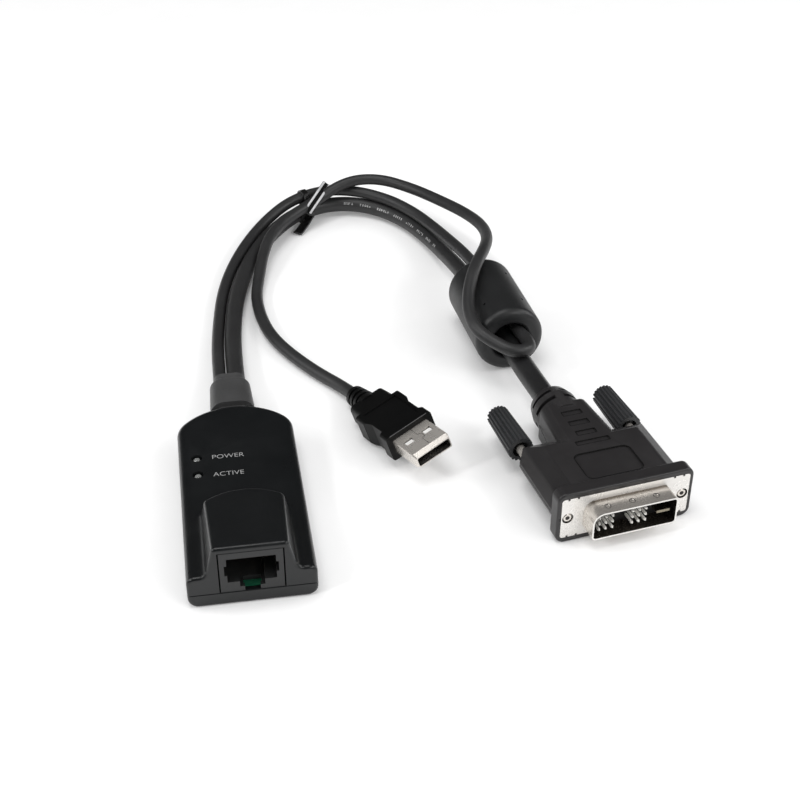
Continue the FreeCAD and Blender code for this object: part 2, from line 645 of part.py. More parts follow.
def indicator(x, y):
    """A clear lamp: flanged foot, shaft and domed top."""
    crown = DECK_HEIGHT - LIGHT_BELOW_DECK
    foot = rod(LIGHT_FLANGE_RADIUS, (x, y, BASE_HEIGHT), LIGHT_FLANGE_HEIGHT)
    shaft = rod(LIGHT_RADIUS, (x, y, BASE_HEIGHT), crown - LIGHT_RADIUS - BASE_HEIGHT)
    dome = Part.makeSphere(LIGHT_RADIUS, V(x, y, crown - LIGHT_RADIUS))
    return foot.fuse([shaft, dome]).removeSplitter()


def chip(width, length, x, from_face, height):
    y = FACE_Y + from_face
    return box(x - width / 2, x + width / 2, y - length / 2, y + length / 2,
               BASE_HEIGHT, BASE_HEIGHT + height)


def capacitors():
    return Part.makeCompound([chip(CAPACITOR_WIDTH, CAPACITOR_LENGTH, x, y, CAPACITOR_HEIGHT)
                              for x, y in CAPACITOR_PLACES])


# ---------------------------------------------------------------- boot, cords, ferrite, tie
def boot_section(width, height, y):
    face = rectangle(width, height, height / 2 - 0.05, "XZ", (0, BOOT_AXIS_HEIGHT))
    return moved(face.OuterWire, y=y)


def cord_boot():
    start = END_Y + BOOT_GAP
    end = start + BOOT_LENGTH
    shoulder = start + BOOT_SHOULDER
    sleeve = Part.makeLoft([boot_section(BOOT_FRONT_WIDTH, BOOT_FRONT_HEIGHT, start),
                            boot_section(BOOT_BACK_WIDTH, BOOT_BACK_HEIGHT, shoulder)], True, True)
    back = edges_where(sleeve, lambda e: e.BoundBox.YMin > shoulder - 1e-4)
    sleeve = sleeve.makeFillet(BOOT_END_RADIUS, back)
    tail = Part.makeLoft([boot_section(BOOT_TAIL_WIDTH, BOOT_TAIL_HEIGHT, shoulder - 4),
                          boot_section(BOOT_TAIL_WIDTH - 0.3, BOOT_TAIL_HEIGHT - 0.3, end)],
                         True, True)
    sleeve = sleeve.fuse(tail)
    inside = END_Y - WALL
    neck_face = rectangle(NECK_WIDTH, NECK_HEIGHT, 1.9, "XZ", (0, BOOT_AXIS_HEIGHT))
    neck = moved(prism(neck_face, (0, start - inside + 3, 0)), y=inside - 2)
    anchor_face = rectangle(ANCHOR_WIDTH, ANCHOR_HEIGHT, 1.5, "XZ", (0, BOOT_AXIS_HEIGHT))
    anchor = moved(prism(anchor_face, (0, ANCHOR_THICKNESS, 0)),
                   y=inside - 1.5 - ANCHOR_THICKNESS)
    return sleeve.fuse([neck, anchor]).removeSplitter()


def route_path(points):
    """Straight runs joined by tangent arcs, as one wire.  Returns it with its radii."""
    points = [V(*p) for p in points]
    edges, radii = [], []
    at = points[0]
    for before, here, after in zip(points, points[1:], points[2:]):
        back, forth = before - here, after - here
        run = 0.45 * min(back.Length, forth.Length)
        a, b = here + back.normalize() * run, here + forth.normalize() * run
        turn = math.pi - back.getAngle(forth)
        radius = run / math.tan(turn / 2)
        inner = (back + forth).normalize()
        mid = here + inner * (radius / math.cos(turn / 2) - radius)
        edges.append(Part.LineSegment(at, a).toShape())
        edges.append(Part.Arc(a, mid, b).toShape())
        radii.append(radius)
        at = b
    edges.append(Part.LineSegment(at, points[-1]).toShape())
    return Part.Wire(edges), radii


def cord_tube(points, diameter, name):
    path, radii = route_path(points)
    start = V(*points[0])
    ring = Part.Wire(Part.makeCircle(diameter / 2, start, V(*points[1]) - start))
    tube = path.makePipeShell([ring], True, False)
    expected = math.pi * diameter ** 2 / 4 * path.Length
    print("%s: length %.1f, least radius %.1f, volume / (section x length) %.4f, lowest %.2f"
          % (name, path.Length, min(radii), tube.Volume / expected, tube.BoundBox.ZMin))
    print("   radii", " ".join("%.0f" % r for r in radii))
    return tube


def sleeve_tube():
    """Heat-shrink over the end of the video cord, along the same route."""
    path, _ = route_path(VIDEO_ROUTE)
    edges = path.Edges[-SLEEVE_RUNS:]
    spine = Part.Wire(edges)
    first = edges[0]
    start = first.valueAt(first.FirstParameter)
    along = first.tangentAt(first.FirstParameter)
    tubes = []
    for diameter in (SLEEVE_DIAMETER, VIDEO_CORD_DIAMETER):
        ring = Part.Wire(Part.makeCircle(diameter / 2, start, along))
        tubes.append(spine.makePipeShell([ring], True, False))
    return tubes[0].cut(tubes[1])


def band_face(circles, grow, x):
    """The taut outline round some cords, each (y, z, radius), in a plane of constant x."""
    centres = [V(x, y, z) for y, z, _ in circles]
    radii = [radius + grow for _, _, radius in circles]
    count = len(circles)
    leaving, reaching = [], []
    for i in range(count):
        j = (i + 1) % count
        gap = centres[j] - centres[i]
        lean = math.atan2(gap.z, gap.y) - math.acos((radii[i] - radii[j]) / gap.Length)
        out = V(0, math.cos(lean), math.sin(lean))
        leaving.append((centres[i] + out * radii[i], lean))
        reaching.append((centres[j] + out * radii[j], lean))
    edges = []
    for i in range(count):
        edges.append(Part.LineSegment(leaving[i][0], reaching[i][0]).toShape())
        j = (i + 1) % count
        low, high = reaching[i][1], leaving[j][1]
        if high < low:
            high += 2 * math.pi
        middle = (low + high) / 2
        top = centres[j] + V(0, math.cos(middle), math.sin(middle)) * radii[j]
        edges.append(Part.Arc(reaching[i][0], top, leaving[j][0]).toShape())
    return Part.Face(Part.Wire(edges))


def strip(start, end, width, thickness):
    """A flat ribbon from start to end, lying level across its width."""
    start, end = V(*start), V(*end)
    along = end - start
    across = Z_AXIS.cross(along).normalize()
    rise = along.cross(across).normalize()
    ribbon = Part.makeBox(along.Length, width, thickness, V(0, -width / 2, -thickness / 2))
    ribbon.Placement = Placement(start, Rotation(V(along).normalize(), across, rise, "XYZ"))
    return ribbon


def cord_tie():
    """The ribbon, laid out with the cords along x and then turned into place."""
    side = TIE_WIDTH / 2
    outer = prism(band_face(TIE_ROUND, TIE_THICKNESS, -side), (TIE_WIDTH, 0, 0))
    hollow = prism(band_face(TIE_ROUND, 0, -side - 1), (TIE_WIDTH + 2, 0, 0))
    ridge = prism(band_face(TIE_ROUND, TIE_THICKNESS + TIE_RIDGE, -0.35), (0.7, 0, 0))
    low_x = -LOOP_BACK - LOOP_WIDTH / 2
    loop = prism(band_face(LOOP_ROUND, TIE_THICKNESS, low_x), (LOOP_WIDTH, 0, 0))
    loop_hollow = prism(band_face(LOOP_ROUND, 0, low_x - 1), (LOOP_WIDTH + 2, 0, 0))
    y, z, radius = LOOP_ROUND[0]
    top = z + radius + TIE_THICKNESS / 2
    bridge = strip((-LOOP_BACK, y, top), (0, y, top + 0.25), 1.6, TIE_THICKNESS)
    tail = strip(TAIL_START, TAIL_END, TIE_WIDTH, TIE_THICKNESS)
    x0, y0, z0 = TAIL_START
    knot = strip((x0 + 1.2, y0 - 0.8, z0 + 1.6), (x0 - 0.3, y0 - 0.5, z0 - 0.3),
                 TIE_WIDTH * 0.8, TIE_THICKNESS * 2.2)
    tie = outer.fuse([ridge, loop, bridge, tail, knot]).cut([hollow, loop_hollow])
    place = Placement(V(TIE_PLACE[0], TIE_PLACE[1], 0), Rotation(Z_AXIS, TIE_TURN))
    return placed_at(tie.removeSplitter(), place)


def ferrite_place(shape):
    return placed_at(shape, Placement(V(FERRITE_FRONT[0], FERRITE_FRONT[1], FERRITE_RADIUS),
                                      Rotation(Z_AXIS, FERRITE_TURN)))


def ferrite_jacket():
    bore = rod(FERRITE_BORE_RADIUS, (0, -1, 0), FERRITE_LENGTH + 2, Y_AXIS)
    jacket = rod(FERRITE_RADIUS, (0, 0, 0), FERRITE_LENGTH, Y_AXIS)
    rims = edges_where(jacket, lambda e: len(e.Vertexes) == 1)
    jacket = jacket.makeFillet(FERRITE_RIM_RADIUS, rims).cut(bore)
    mouths = edges_where(jacket, lambda e: e.Curve.TypeId == "Part::GeomCircle"
                         and abs(e.Curve.Radius - FERRITE_BORE_RADIUS) < 1e-6)
    jacket = jacket.makeFillet(FERRITE_MOUTH_RADIUS, mouths)
    jacket = jacket.cut(ferrite_core_local(0.0))
    for y in (FERRITE_LENGTH * 0.26, FERRITE_LENGTH * 0.74):
        for angle in (70, 180, 290, 0):
            hole = rod(PIN_HOLE_RADIUS, (0, y, FERRITE_RADIUS - PIN_HOLE_DEPTH), 3)
            hole.rotate(V(0, 0, 0), Y_AXIS, angle - 35)
            jacket = jacket.cut(hole)
    return ferrite_place(jacket)


def ferrite_core_local(_):
    inner = FERRITE_BORE_RADIUS + CORE_BORE_CLEARANCE
    outer = FERRITE_RADIUS - FERRITE_JACKET
    length = FERRITE_LENGTH - 2 * FERRITE_JACKET
    core = rod(outer, (0, FERRITE_JACKET, 0), length, Y_AXIS)
    return core.cut(rod(inner, (0, 0, 0), FERRITE_LENGTH, Y_AXIS))


def ferrite_core():
    return ferrite_place(ferrite_core_local(0.0))


# ---------------------------------------------------------------- video plug
AXIS_Z = FLANGE_HEIGHT / 2


def video_place(shape):
    return placed_at(shape, Placement(V(VIDEO_PLUG_PLACE[0], VIDEO_PLUG_PLACE[1], 0),
                                      Rotation(Z_AXIS, VIDEO_PLUG_TURN)))


def screw_axis(side):
    return side * JACKSCREW_SPACING / 2


def video_plug_hood():
    flange = prism(rectangle(FLANGE_WIDTH, FLANGE_HEIGHT, FLANGE_CORNER_RADIUS, "XZ",
                             (0, AXIS_Z)), (0, FLANGE_DEPTH, 0))
    rims = edges_where(flange, lambda e: e.BoundBox.YLength < 1e-6)
    flange = flange.makeFillet(FLANGE_EDGE_RADIUS, rims)
    neck_front, neck_back = PLUG_NECK_FRONT_WIDTH / 2, PLUG_NECK_BACK_WIDTH / 2
    low, high = AXIS_Z - BODY_HEIGHT / 2, AXIS_Z + BODY_HEIGHT / 2
    start = FLANGE_DEPTH - 1
    quarter = [(x, z, r) for x, z, r in BODY_SECTION]
    right = [(x, AXIS_Z - z, r) for x, z, r in quarter] + [
        (x, AXIS_Z + z, r) for x, z, r in reversed(quarter)]
    left = [(-x, z, r) for x, z, r in reversed(right)]
    body = moved(prism(rounded_face(right + left, "XZ"), (0, BODY_LENGTH - start, 0)), y=start)
    (fall_start, fall_high), (fall_end, fall_low) = BODY_BACK_FALL
    profile = rounded_face([(0, AXIS_Z - fall_high - 1, 0), (fall_start, AXIS_Z - fall_high - 1, 0),
                            (fall_start, AXIS_Z - fall_high, 0), (fall_end, AXIS_Z - fall_low, 0),
                            (fall_end, AXIS_Z + fall_low, 0), (fall_start, AXIS_Z + fall_high, 0),
                            (fall_start, AXIS_Z + fall_high + 1, 0),
                            (0, AXIS_Z + fall_high + 1, 0)], "YZ")
    body = body.common(moved(prism(profile, (60, 0, 0)), x=-30))
    plan = rounded_face([(-25, 0, 0), (25, 0, 0), (25, BODY_LENGTH - 3, 0),
                         (BODY_SECTION[-1][0], BODY_LENGTH - 3, 0),
                         (BODY_SECTION[-1][0] - BODY_BACK_CORNER, BODY_LENGTH + 0.01, 0),
                         (BODY_BACK_CORNER - BODY_SECTION[-1][0], BODY_LENGTH + 0.01, 0),
                         (-BODY_SECTION[-1][0], BODY_LENGTH - 3, 0), (-25, BODY_LENGTH - 3, 0)])
    body = body.common(moved(prism(plan, (0, 0, 40)), z=-10))
    neck = prism(rounded_face([(-neck_front, BODY_LENGTH - 12, 0), (neck_front, BODY_LENGTH - 12, 0),
                               (neck_back, PLUG_NECK_END, 0), (-neck_back, PLUG_NECK_END, 0)]),
                 (0, 0, high - low))
    long_edges = edges_where(neck, lambda e: e.BoundBox.ZLength < 1e-6
                             and e.BoundBox.YLength > 5)
    neck = moved(neck.makeFillet(BODY_EDGE_RADIUS, long_edges), z=low)
    profile = rounded_face([(0, COLLAR_START, 0), (COLLAR_RADIUS, COLLAR_START, 0),
                            (COLLAR_RADIUS, COLLAR_END - 4, 0),
                            (COLLAR_END_RADIUS, COLLAR_END, 0.8), (0, COLLAR_END, 0)])
    collar = profile.revolve(V(0, 0, 0), Y_AXIS, 360)
    for row in range(2):
        y = SLOT_FIRST + row * SLOT_PITCH
        ring = rod(COLLAR_RADIUS + 1, (0, y, 0), SLOT_WIDTH, Y_AXIS).cut(
            rod(COLLAR_RADIUS - SLOT_DEPTH, (0, y - 1, 0), SLOT_WIDTH + 2, Y_AXIS))
        half = SLOT_BRIDGE / 2
        ring = ring.cut(box(-half, half, y - 1, y + 3, -20, 20))
        ring = ring.cut(box(-20, 20, y - 1, y + 3, -half, half))
        collar = collar.cut(ring)
    hood = flange.fuse([body, neck, moved(collar, z=AXIS_Z)]).removeSplitter()
    pocket = rectangle(PLATE_WIDTH + 2 * PLATE_CLEARANCE, PLATE_HEIGHT + 2 * PLATE_CLEARANCE,
                       PLATE_CORNER_RADIUS, "XZ", (0, AXIS_Z))
    hood = hood.cut(moved(prism(pocket, (0, PLATE_THICKNESS + 1, 0)), y=-1))
    hood = hood.cut(insulator_block(INSULATOR_CLEARANCE))
    top = high - RECESS_DEPTH
    label = rectangle(LABEL_WIDTH, LABEL_LENGTH, LABEL_RADIUS, "XY",
                      (0, LABEL_START + LABEL_LENGTH / 2))
    hood = hood.cut(moved(prism(label, (0, 0, 5)), z=top))
    hood = hood.cut(box(-BAR_WIDTH / 2, BAR_WIDTH / 2, BAR_START, BAR_START + BAR_LENGTH,
                        top, top + 5))
    for i in range(RIB_COUNT):
        y = RIB_START + i * RIB_PITCH
        hood = hood.cut(box(-RIB_WIDTH / 2, RIB_WIDTH / 2, y, y + RIB_LENGTH, top, top + 5))
    for side in (-1, 1):
        x = screw_axis(side)
        hood = hood.cut(rod(JACKSCREW_BORE_RADIUS, (x, -1, AXIS_Z), BODY_LENGTH + 5, Y_AXIS))
        pocket_end = JACKSCREW_TIP_SETBACK + JACKSCREW_TIP_LENGTH + CLIP_THICKNESS + 0.25
        hood = hood.cut(rod(CLIP_POCKET_RADIUS, (x, 0, AXIS_Z), pocket_end, Y_AXIS))
    return video_place(hood)


def shell_outline(inset):
    """The D-shaped skirt's section: one wide corner at the upper left."""
    half, tall = SHELL_WIDTH / 2 - inset, SHELL_HEIGHT / 2 - inset
    small, large = SHELL_SMALL_RADIUS - inset, SHELL_LARGE_RADIUS - inset
    return rounded_face([(-half, AXIS_Z - tall, small), (half, AXIS_Z - tall, small),
                         (half, AXIS_Z + tall, small), (-half, AXIS_Z + tall, large)], "XZ")


def video_plug_shell():
    plate = prism(rectangle(PLATE_WIDTH, PLATE_HEIGHT, PLATE_CORNER_RADIUS, "XZ", (0, AXIS_Z)),
                  (0, PLATE_THICKNESS, 0))
    skirt = moved(prism(shell_outline(0), (0, SHELL_REACH + 0.2, 0)), y=-SHELL_REACH)
    shell = plate.fuse(skirt)
    shell = shell.cut(moved(prism(shell_outline(SHELL_WALL), (0, SHELL_REACH + 5, 0)),
                            y=-SHELL_REACH - 1))
    for side in (-1, 1):
        shell = shell.cut(rod(JACKSCREW_BORE_RADIUS + 0.05, (screw_axis(side), -1, AXIS_Z), 5,
                              Y_AXIS))
    sink = 1.6
    for i in (-1, 0, 1):
        ball = Part.makeSphere(sink, V(i * DIMPLE_PITCH, -SHELL_REACH * 0.55,
                                       AXIS_Z + SHELL_HEIGHT / 2 + sink - 0.22))
        shell = shell.cut(ball)
    return video_place(shell.removeSplitter())


def insulator_block(grow):
    inset = SHELL_WALL + INSULATOR_CLEARANCE - grow
    return moved(prism(shell_outline(inset), (0, PIN_FACE + INSULATOR_BACK + grow, 0)),
                 y=-PIN_FACE)


def pin_places():
    columns = [FIRST_PIN_X + PIN_PITCH * k for k in (0, 1, 2, 5, 6, 7)]
    return [(x, AXIS_Z + PIN_PITCH * row) for x in columns for row in (-1, 0, 1)]


def video_plug_insulator():
    block = insulator_block(0)
    for x, z in pin_places():
        block = block.cut(rod(PIN_RADIUS, (x, -9, z), 12, Y_AXIS))
    half, thick = BLADE_WIDTH / 2, BLADE_THICKNESS / 2
    block = block.cut(box(BLADE_X - half, BLADE_X + half, -9, 3, AXIS_Z - thick, AXIS_Z + thick))
    return video_place(block)


def video_plug_pins():
    pins = []
    for x, z in pin_places():
        shank = rod(PIN_RADIUS, (x, -PIN_REACH + 0.4, z), PIN_REACH + 2.6, Y_AXIS)
        nose = Part.makeCone(PIN_RADIUS * 0.45, PIN_RADIUS, 0.4, V(x, -PIN_REACH, z), Y_AXIS)
        pins.append(video_place(shank.fuse(nose).removeSplitter()))
    return Part.makeCompound(pins)


def video_plug_blade():
    half, thick = BLADE_WIDTH / 2, BLADE_THICKNESS / 2
    return video_place(box(BLADE_X - half, BLADE_X + half, -PIN_REACH, 3,
                           AXIS_Z - thick, AXIS_Z + thick))


def jackscrew(side):
    x = screw_axis(side)
    tip_end = JACKSCREW_TIP_SETBACK + JACKSCREW_TIP_LENGTH
    groove_end = tip_end + CLIP_THICKNESS + 2 * CLIP_CLEARANCE
    tip = rod(JACKSCREW_TIP_RADIUS, (x, JACKSCREW_TIP_SETBACK, AXIS_Z), JACKSCREW_TIP_LENGTH, Y_AXIS)
    nose = edges_where(tip, lambda e: e.BoundBox.YMax < JACKSCREW_TIP_SETBACK + 1e-4)
    tip = tip.makeChamfer(0.35, nose)
    seat = rod(CLIP_SEAT_RADIUS, (x, tip_end, AXIS_Z), groove_end - tip_end, Y_AXIS)
    shaft = rod(JACKSCREW_SHAFT_RADIUS, (x, groove_end, AXIS_Z), JACKSCREW_END - groove_end, Y_AXIS)
    return video_place(tip.fuse([seat, shaft]).removeSplitter())


def screw_clip(side):
    """An open ring in the screw's groove; it keeps the screw in the hood."""
    x = screw_axis(side)
    y = JACKSCREW_TIP_SETBACK + JACKSCREW_TIP_LENGTH + CLIP_CLEARANCE
    ring = rod(CLIP_RADIUS, (x, y, AXIS_Z), CLIP_THICKNESS, Y_AXIS)
    ring = ring.cut(rod(CLIP_SEAT_RADIUS + CLIP_CLEARANCE, (x, y - 1, AXIS_Z), 3, Y_AXIS))
    ring = ring.cut(box(x - CLIP_GAP / 2, x + CLIP_GAP / 2, y - 1, y + 2, AXIS_Z - 5, AXIS_Z))
    return video_place(ring)


def fluted_wire(radius, y):
    """A knob's section: shallow round flutes between narrow ridges."""
    points = []
    steps = ((0.0, 0.0), (0.30, 1.0), (0.62, 1.0), (0.92, 0.0))
    for flute in range(KNOB_FLUTES):
        for share, ridge in steps:
            angle = 2 * math.pi * (flute + share) / KNOB_FLUTES
            r = radius - KNOB_FLUTE_DEPTH * (1 - ridge)
            points.append(V(r * math.cos(angle), y, r * math.sin(angle)))
    return Part.makePolygon(points + points[:1])


def thumbscrew_knob(side):
    end = KNOB_START + KNOB_LENGTH
    knob = Part.makeLoft([fluted_wire(KNOB_FRONT_RADIUS, KNOB_START),
                          fluted_wire(KNOB_BACK_RADIUS, end)], True, True)
    limit = Part.makeCone(KNOB_FRONT_RADIUS + 0.6, KNOB_FRONT_RADIUS - 0.6, 1.2,
                          V(0, end - 1.2, 0), Y_AXIS)
    limit = limit.fuse(rod(KNOB_FRONT_RADIUS + 0.6, (0, 0, 0), end - 1.2, Y_AXIS))
    knob = knob.common(limit)
    knob = knob.cut(rod(KNOB_RECESS_RADIUS, (0, KNOB_START - 1, 0), 1 + KNOB_RECESS_DEPTH, Y_AXIS))
    knob = knob.cut(rod(JACKSCREW_SHAFT_RADIUS, (0, KNOB_START - 1, 0),
                        JACKSCREW_END - KNOB_START + 1, Y_AXIS))
    knob = knob.cut(box(-9, 9, end - KNOB_SLOT_DEPTH, end + 1,
                        -KNOB_SLOT_WIDTH / 2, KNOB_SLOT_WIDTH / 2))
    return video_place(moved(knob, x=screw_axis(side), z=AXIS_Z))


# ---------------------------------------------------------------- USB plug
USB_AXIS_Z = USB_SHELL_HEIGHT / 2
USB_SHELL_END = USB_SHELL_REACH + USB_SHELL_BURIED
USB_COVER_END = USB_SHELL_REACH + USB_BLOCK_LENGTH + USB_BACK_LENGTH + USB_BOOT_LENGTH


def usb_turn():
    turn = Rotation(Z_AXIS, USB_TURN)
    turn = turn.multiply(Rotation(X_AXIS, -USB_NOSE_UP))
    return turn.multiply(Rotation(Y_AXIS, -USB_ROLL))


def usb_shell_section(y, side, drop, rise, inset):
    half = USB_SHELL_WIDTH / 2 - side - inset
    low, high = rise + inset, USB_SHELL_HEIGHT - drop - inset
    face = rounded_face([(-half, low, 0.5), (half, low, 0.5), (half, high, 0.5),
                         (-half, high, 0.5)], "XZ")
    return moved(face.OuterWire, y=y)


def usb_shell_solid(inset):
    """The plug's tube: straight, then drawn in at the mouth."""
    straight = Part.makeLoft([usb_shell_section(USB_LIP_LENGTH, 0, 0, 0, inset),
                              usb_shell_section(USB_SHELL_END, 0, 0, 0, inset)], True, True)
    lip = Part.makeLoft([usb_shell_section(0, USB_LIP_SIDE, USB_LIP_TOP_DROP, USB_LIP_SIDE, inset),
                         usb_shell_section(USB_LIP_LENGTH, 0, 0, 0, inset)], True, True)
    return straight.fuse(lip)


def usb_plug_shell_local():
    shell = usb_shell_solid(0).cut(usb_shell_solid(USB_SHELL_WALL))
    for side in (-1, 1):
        x = side * USB_WINDOW_X
        for z in (-1, USB_SHELL_HEIGHT - 1):
            shell = shell.cut(box(x - USB_WINDOW_WIDTH / 2, x + USB_WINDOW_WIDTH / 2,
                                  USB_WINDOW_Y - USB_WINDOW_LENGTH / 2,
                                  USB_WINDOW_Y + USB_WINDOW_LENGTH / 2, z, z + 2))
    return shell.removeSplitter()


def usb_plug_tongue_local():
    gap = USB_SHELL_WALL + USB_TONGUE_CLEARANCE
    half = USB_SHELL_WIDTH / 2 - gap
    high = USB_SHELL_HEIGHT - gap
    inside = rectangle(2 * half, high - gap, 0.5, "XZ", (0, (gap + high) / 2))
    filling = moved(prism(inside, (0, USB_SHELL_END - 1 - USB_TONGUE_SETBACK, 0)),
                    y=USB_TONGUE_SETBACK)
    room = box(-9, 9, 0, USB_SHELL_REACH, 0, high - USB_TONGUE_HEIGHT)
    return filling.cut(room)


def usb_plug_contacts_local():
    under = USB_SHELL_HEIGHT - USB_SHELL_WALL - USB_TONGUE_CLEARANCE - USB_TONGUE_HEIGHT
    half = USB_CONTACT_WIDTH / 2
    return Part.makeCompound([
        box(x - half, x + half, USB_TONGUE_SETBACK + 0.8, USB_SHELL_REACH,
            under - USB_CONTACT_THICKNESS, under) for x in USB_CONTACT_XS])


def usb_plug_cover_local():
    half, tall = USB_COVER_WIDTH / 2, USB_COVER_HEIGHT / 2
    start = USB_SHELL_REACH
    block = prism(rectangle(USB_COVER_WIDTH, USB_COVER_HEIGHT, 0.9, "XZ", (0, USB_AXIS_Z)),
                  (0, USB_BLOCK_LENGTH, 0))
    block = moved(block, y=start)
    back_start = start + USB_BLOCK_LENGTH

    def section(width, height, y):
        return moved(rectangle(width, height, 1.6, "XZ", (0, USB_AXIS_Z)).OuterWire, y=y)

    back = Part.makeLoft([section(USB_BACK_WIDTH, USB_BACK_HEIGHT, back_start),
                          section(USB_BACK_END_WIDTH, USB_BACK_HEIGHT - 0.4,
                                  back_start + USB_BACK_LENGTH)], True, True)
    boot_start = back_start + USB_BACK_LENGTH
    boot = Part.makeCone(USB_BOOT_FRONT_RADIUS, USB_BOOT_BACK_RADIUS, USB_BOOT_LENGTH + 1,
                         V(0, boot_start - 1, USB_AXIS_Z), Y_AXIS)
    for i in range(3):
        y = boot_start + 1.2 + i * 2.4
        boot = boot.cut(rod(9, (0, y, USB_AXIS_Z), 1.0, Y_AXIS).cut(
            rod(USB_BOOT_BACK_RADIUS - USB_BOOT_RING_DEPTH + 0.1, (0, y - 1, USB_AXIS_Z), 3, Y_AXIS)))
    cover = block.fuse([back, boot]).removeSplitter()
    cover = cover.cut(moved(prism(rectangle(USB_SHELL_WIDTH, USB_SHELL_HEIGHT, 0.5, "XZ",
                                            (0, USB_AXIS_Z)), (0, USB_SHELL_BURIED + 1, 0)),
                            y=start - 1))
    top = USB_AXIS_Z + tall - USB_PANEL_DEPTH
    cover = cover.cut(box(-USB_PANEL_WIDTH / 2, USB_PANEL_WIDTH / 2, start + USB_PANEL_START,
                          start + USB_BLOCK_LENGTH - 1.4, top, top + 5))
    for side in (-1, 1):
        y, x = start + USB_GRIP_START, side * half
        grip = rounded_face([(x + side, y - 0.8, 0), (x, y, 0.3), (x - side * USB_GRIP_DEPTH, y + 0.6, 0.4),
                             (x - side * USB_GRIP_DEPTH, y + USB_GRIP_LENGTH - 3.4, 1.0),
                             (x, y + USB_GRIP_LENGTH, 0.5), (x + side, y + USB_GRIP_LENGTH, 0)])
        cover = cover.cut(moved(prism(grip, (0, 0, 30)), z=-10))
    return cover


def usb_pieces():
    """The plug's pieces, turned as they lie and lowered until the cover touches z = 0."""
    local = {
        "usb_plug_cover": usb_plug_cover_local(),
        "usb_plug_shell": usb_plug_shell_local(),
        "usb_plug_tongue": usb_plug_tongue_local(),
        "usb_plug_contacts": usb_plug_contacts_local(),
    }
    turn = usb_turn()
    lift = -placed_at(local["usb_plug_cover"], Placement(V(0, 0, 0), turn)).BoundBox.ZMin
    place = Placement(V(USB_PLACE[0], USB_PLACE[1], lift), turn)
    rear = place.multVec(V(0, USB_COVER_END, USB_AXIS_Z))
    print("usb plug lift %.2f, rear face at %.2f %.2f %.2f" % (lift, rear.x, rear.y, rear.z))
    placed = {}
    for name, shape in local.items():
        placed[name] = placed_at(shape, place)
    return placed


# ---------------------------------------------------------------- build
def build():
    first_light, second_light = light_places()
    nodes = {
        "top_cover": top_cover(),
        "bottom_cover": bottom_cover(),
        "cover_screws": cover_screws(),
        "circuit_board": circuit_board(),
        "modular_jack": modular_jack(),
        "jack_contacts": jack_contacts(),
        "active_light": indicator(*first_light),
        "power_light": indicator(*second_light),
        "network_transformer": chip(*NETWORK_TRANSFORMER),
        "main_chip": chip(*MAIN_CHIP),
        "video_chip": chip(*VIDEO_CHIP),
        "memory_chip": chip(*MEMORY_CHIP),
        "crystal": chip(*CRYSTAL),
        "capacitors": capacitors(),
        "cord_boot": cord_boot(),
        "video_cord": cord_tube(VIDEO_ROUTE, VIDEO_CORD_DIAMETER, "video cord"),
        "usb_cord": cord_tube(USB_ROUTE, USB_CORD_DIAMETER, "usb cord"),
        "video_cord_sleeve": sleeve_tube(),
        "cord_tie": cord_tie(),
        "ferrite_jacket": ferrite_jacket(),
        "ferrite_core": ferrite_core(),
        "video_plug_hood": video_plug_hood(),
        "video_plug_shell": video_plug_shell(),
        "video_plug_insulator": video_plug_insulator(),
        "video_plug_pins": video_plug_pins(),
        "video_plug_blade": video_plug_blade(),
    }
    for side, name in ((-1, "left"), (1, "right")):
        nodes[name + "_jackscrew"] = jackscrew(side)
        nodes[name + "_screw_clip"] = screw_clip(side)
        nodes[name + "_thumbscrew_knob"] = thumbscrew_knob(side)
    nodes.update(usb_pieces())
    cords = [nodes["video_cord"], nodes["usb_cord"]]
    nodes["cord_boot"] = nodes["cord_boot"].cut(cords)
    nodes["video_plug_hood"] = nodes["video_plug_hood"].cut(
        [nodes["video_cord"], nodes["video_cord_sleeve"]])
    nodes["usb_plug_cover"] = nodes["usb_plug_cover"].cut(nodes["usb_cord"])
    return nodes


os.makedirs("parts", exist_ok=True)
for node_name, node_shape in build().items():
    if not node_shape.isValid():
        print("not valid:", node_name)
    save(node_shape, node_name)
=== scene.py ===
import math
import random
import bpy
from mathutils import Matrix, Vector


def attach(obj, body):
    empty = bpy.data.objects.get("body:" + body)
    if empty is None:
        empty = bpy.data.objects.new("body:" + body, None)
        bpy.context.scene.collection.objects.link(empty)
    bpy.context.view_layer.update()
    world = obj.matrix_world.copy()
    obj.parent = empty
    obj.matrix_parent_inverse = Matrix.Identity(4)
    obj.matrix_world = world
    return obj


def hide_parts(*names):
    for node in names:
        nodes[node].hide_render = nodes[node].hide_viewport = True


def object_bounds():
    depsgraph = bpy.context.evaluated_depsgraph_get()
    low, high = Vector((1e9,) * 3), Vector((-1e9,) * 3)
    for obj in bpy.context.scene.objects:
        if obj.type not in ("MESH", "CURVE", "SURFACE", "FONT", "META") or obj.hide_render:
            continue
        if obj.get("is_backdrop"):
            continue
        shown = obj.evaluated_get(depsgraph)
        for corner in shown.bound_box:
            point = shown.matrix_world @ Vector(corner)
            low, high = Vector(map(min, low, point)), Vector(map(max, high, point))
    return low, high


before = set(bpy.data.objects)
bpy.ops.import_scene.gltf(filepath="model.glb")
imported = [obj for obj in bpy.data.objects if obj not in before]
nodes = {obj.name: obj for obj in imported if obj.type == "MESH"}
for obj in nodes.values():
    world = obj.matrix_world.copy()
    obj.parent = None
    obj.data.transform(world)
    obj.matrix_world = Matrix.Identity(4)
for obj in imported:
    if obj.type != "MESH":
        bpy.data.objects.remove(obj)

MM = 0.001


def write_size(name, data):
    low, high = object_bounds()
    data[name] = [list(low), list(high)]


sizes = {}
write_size("cad", sizes)

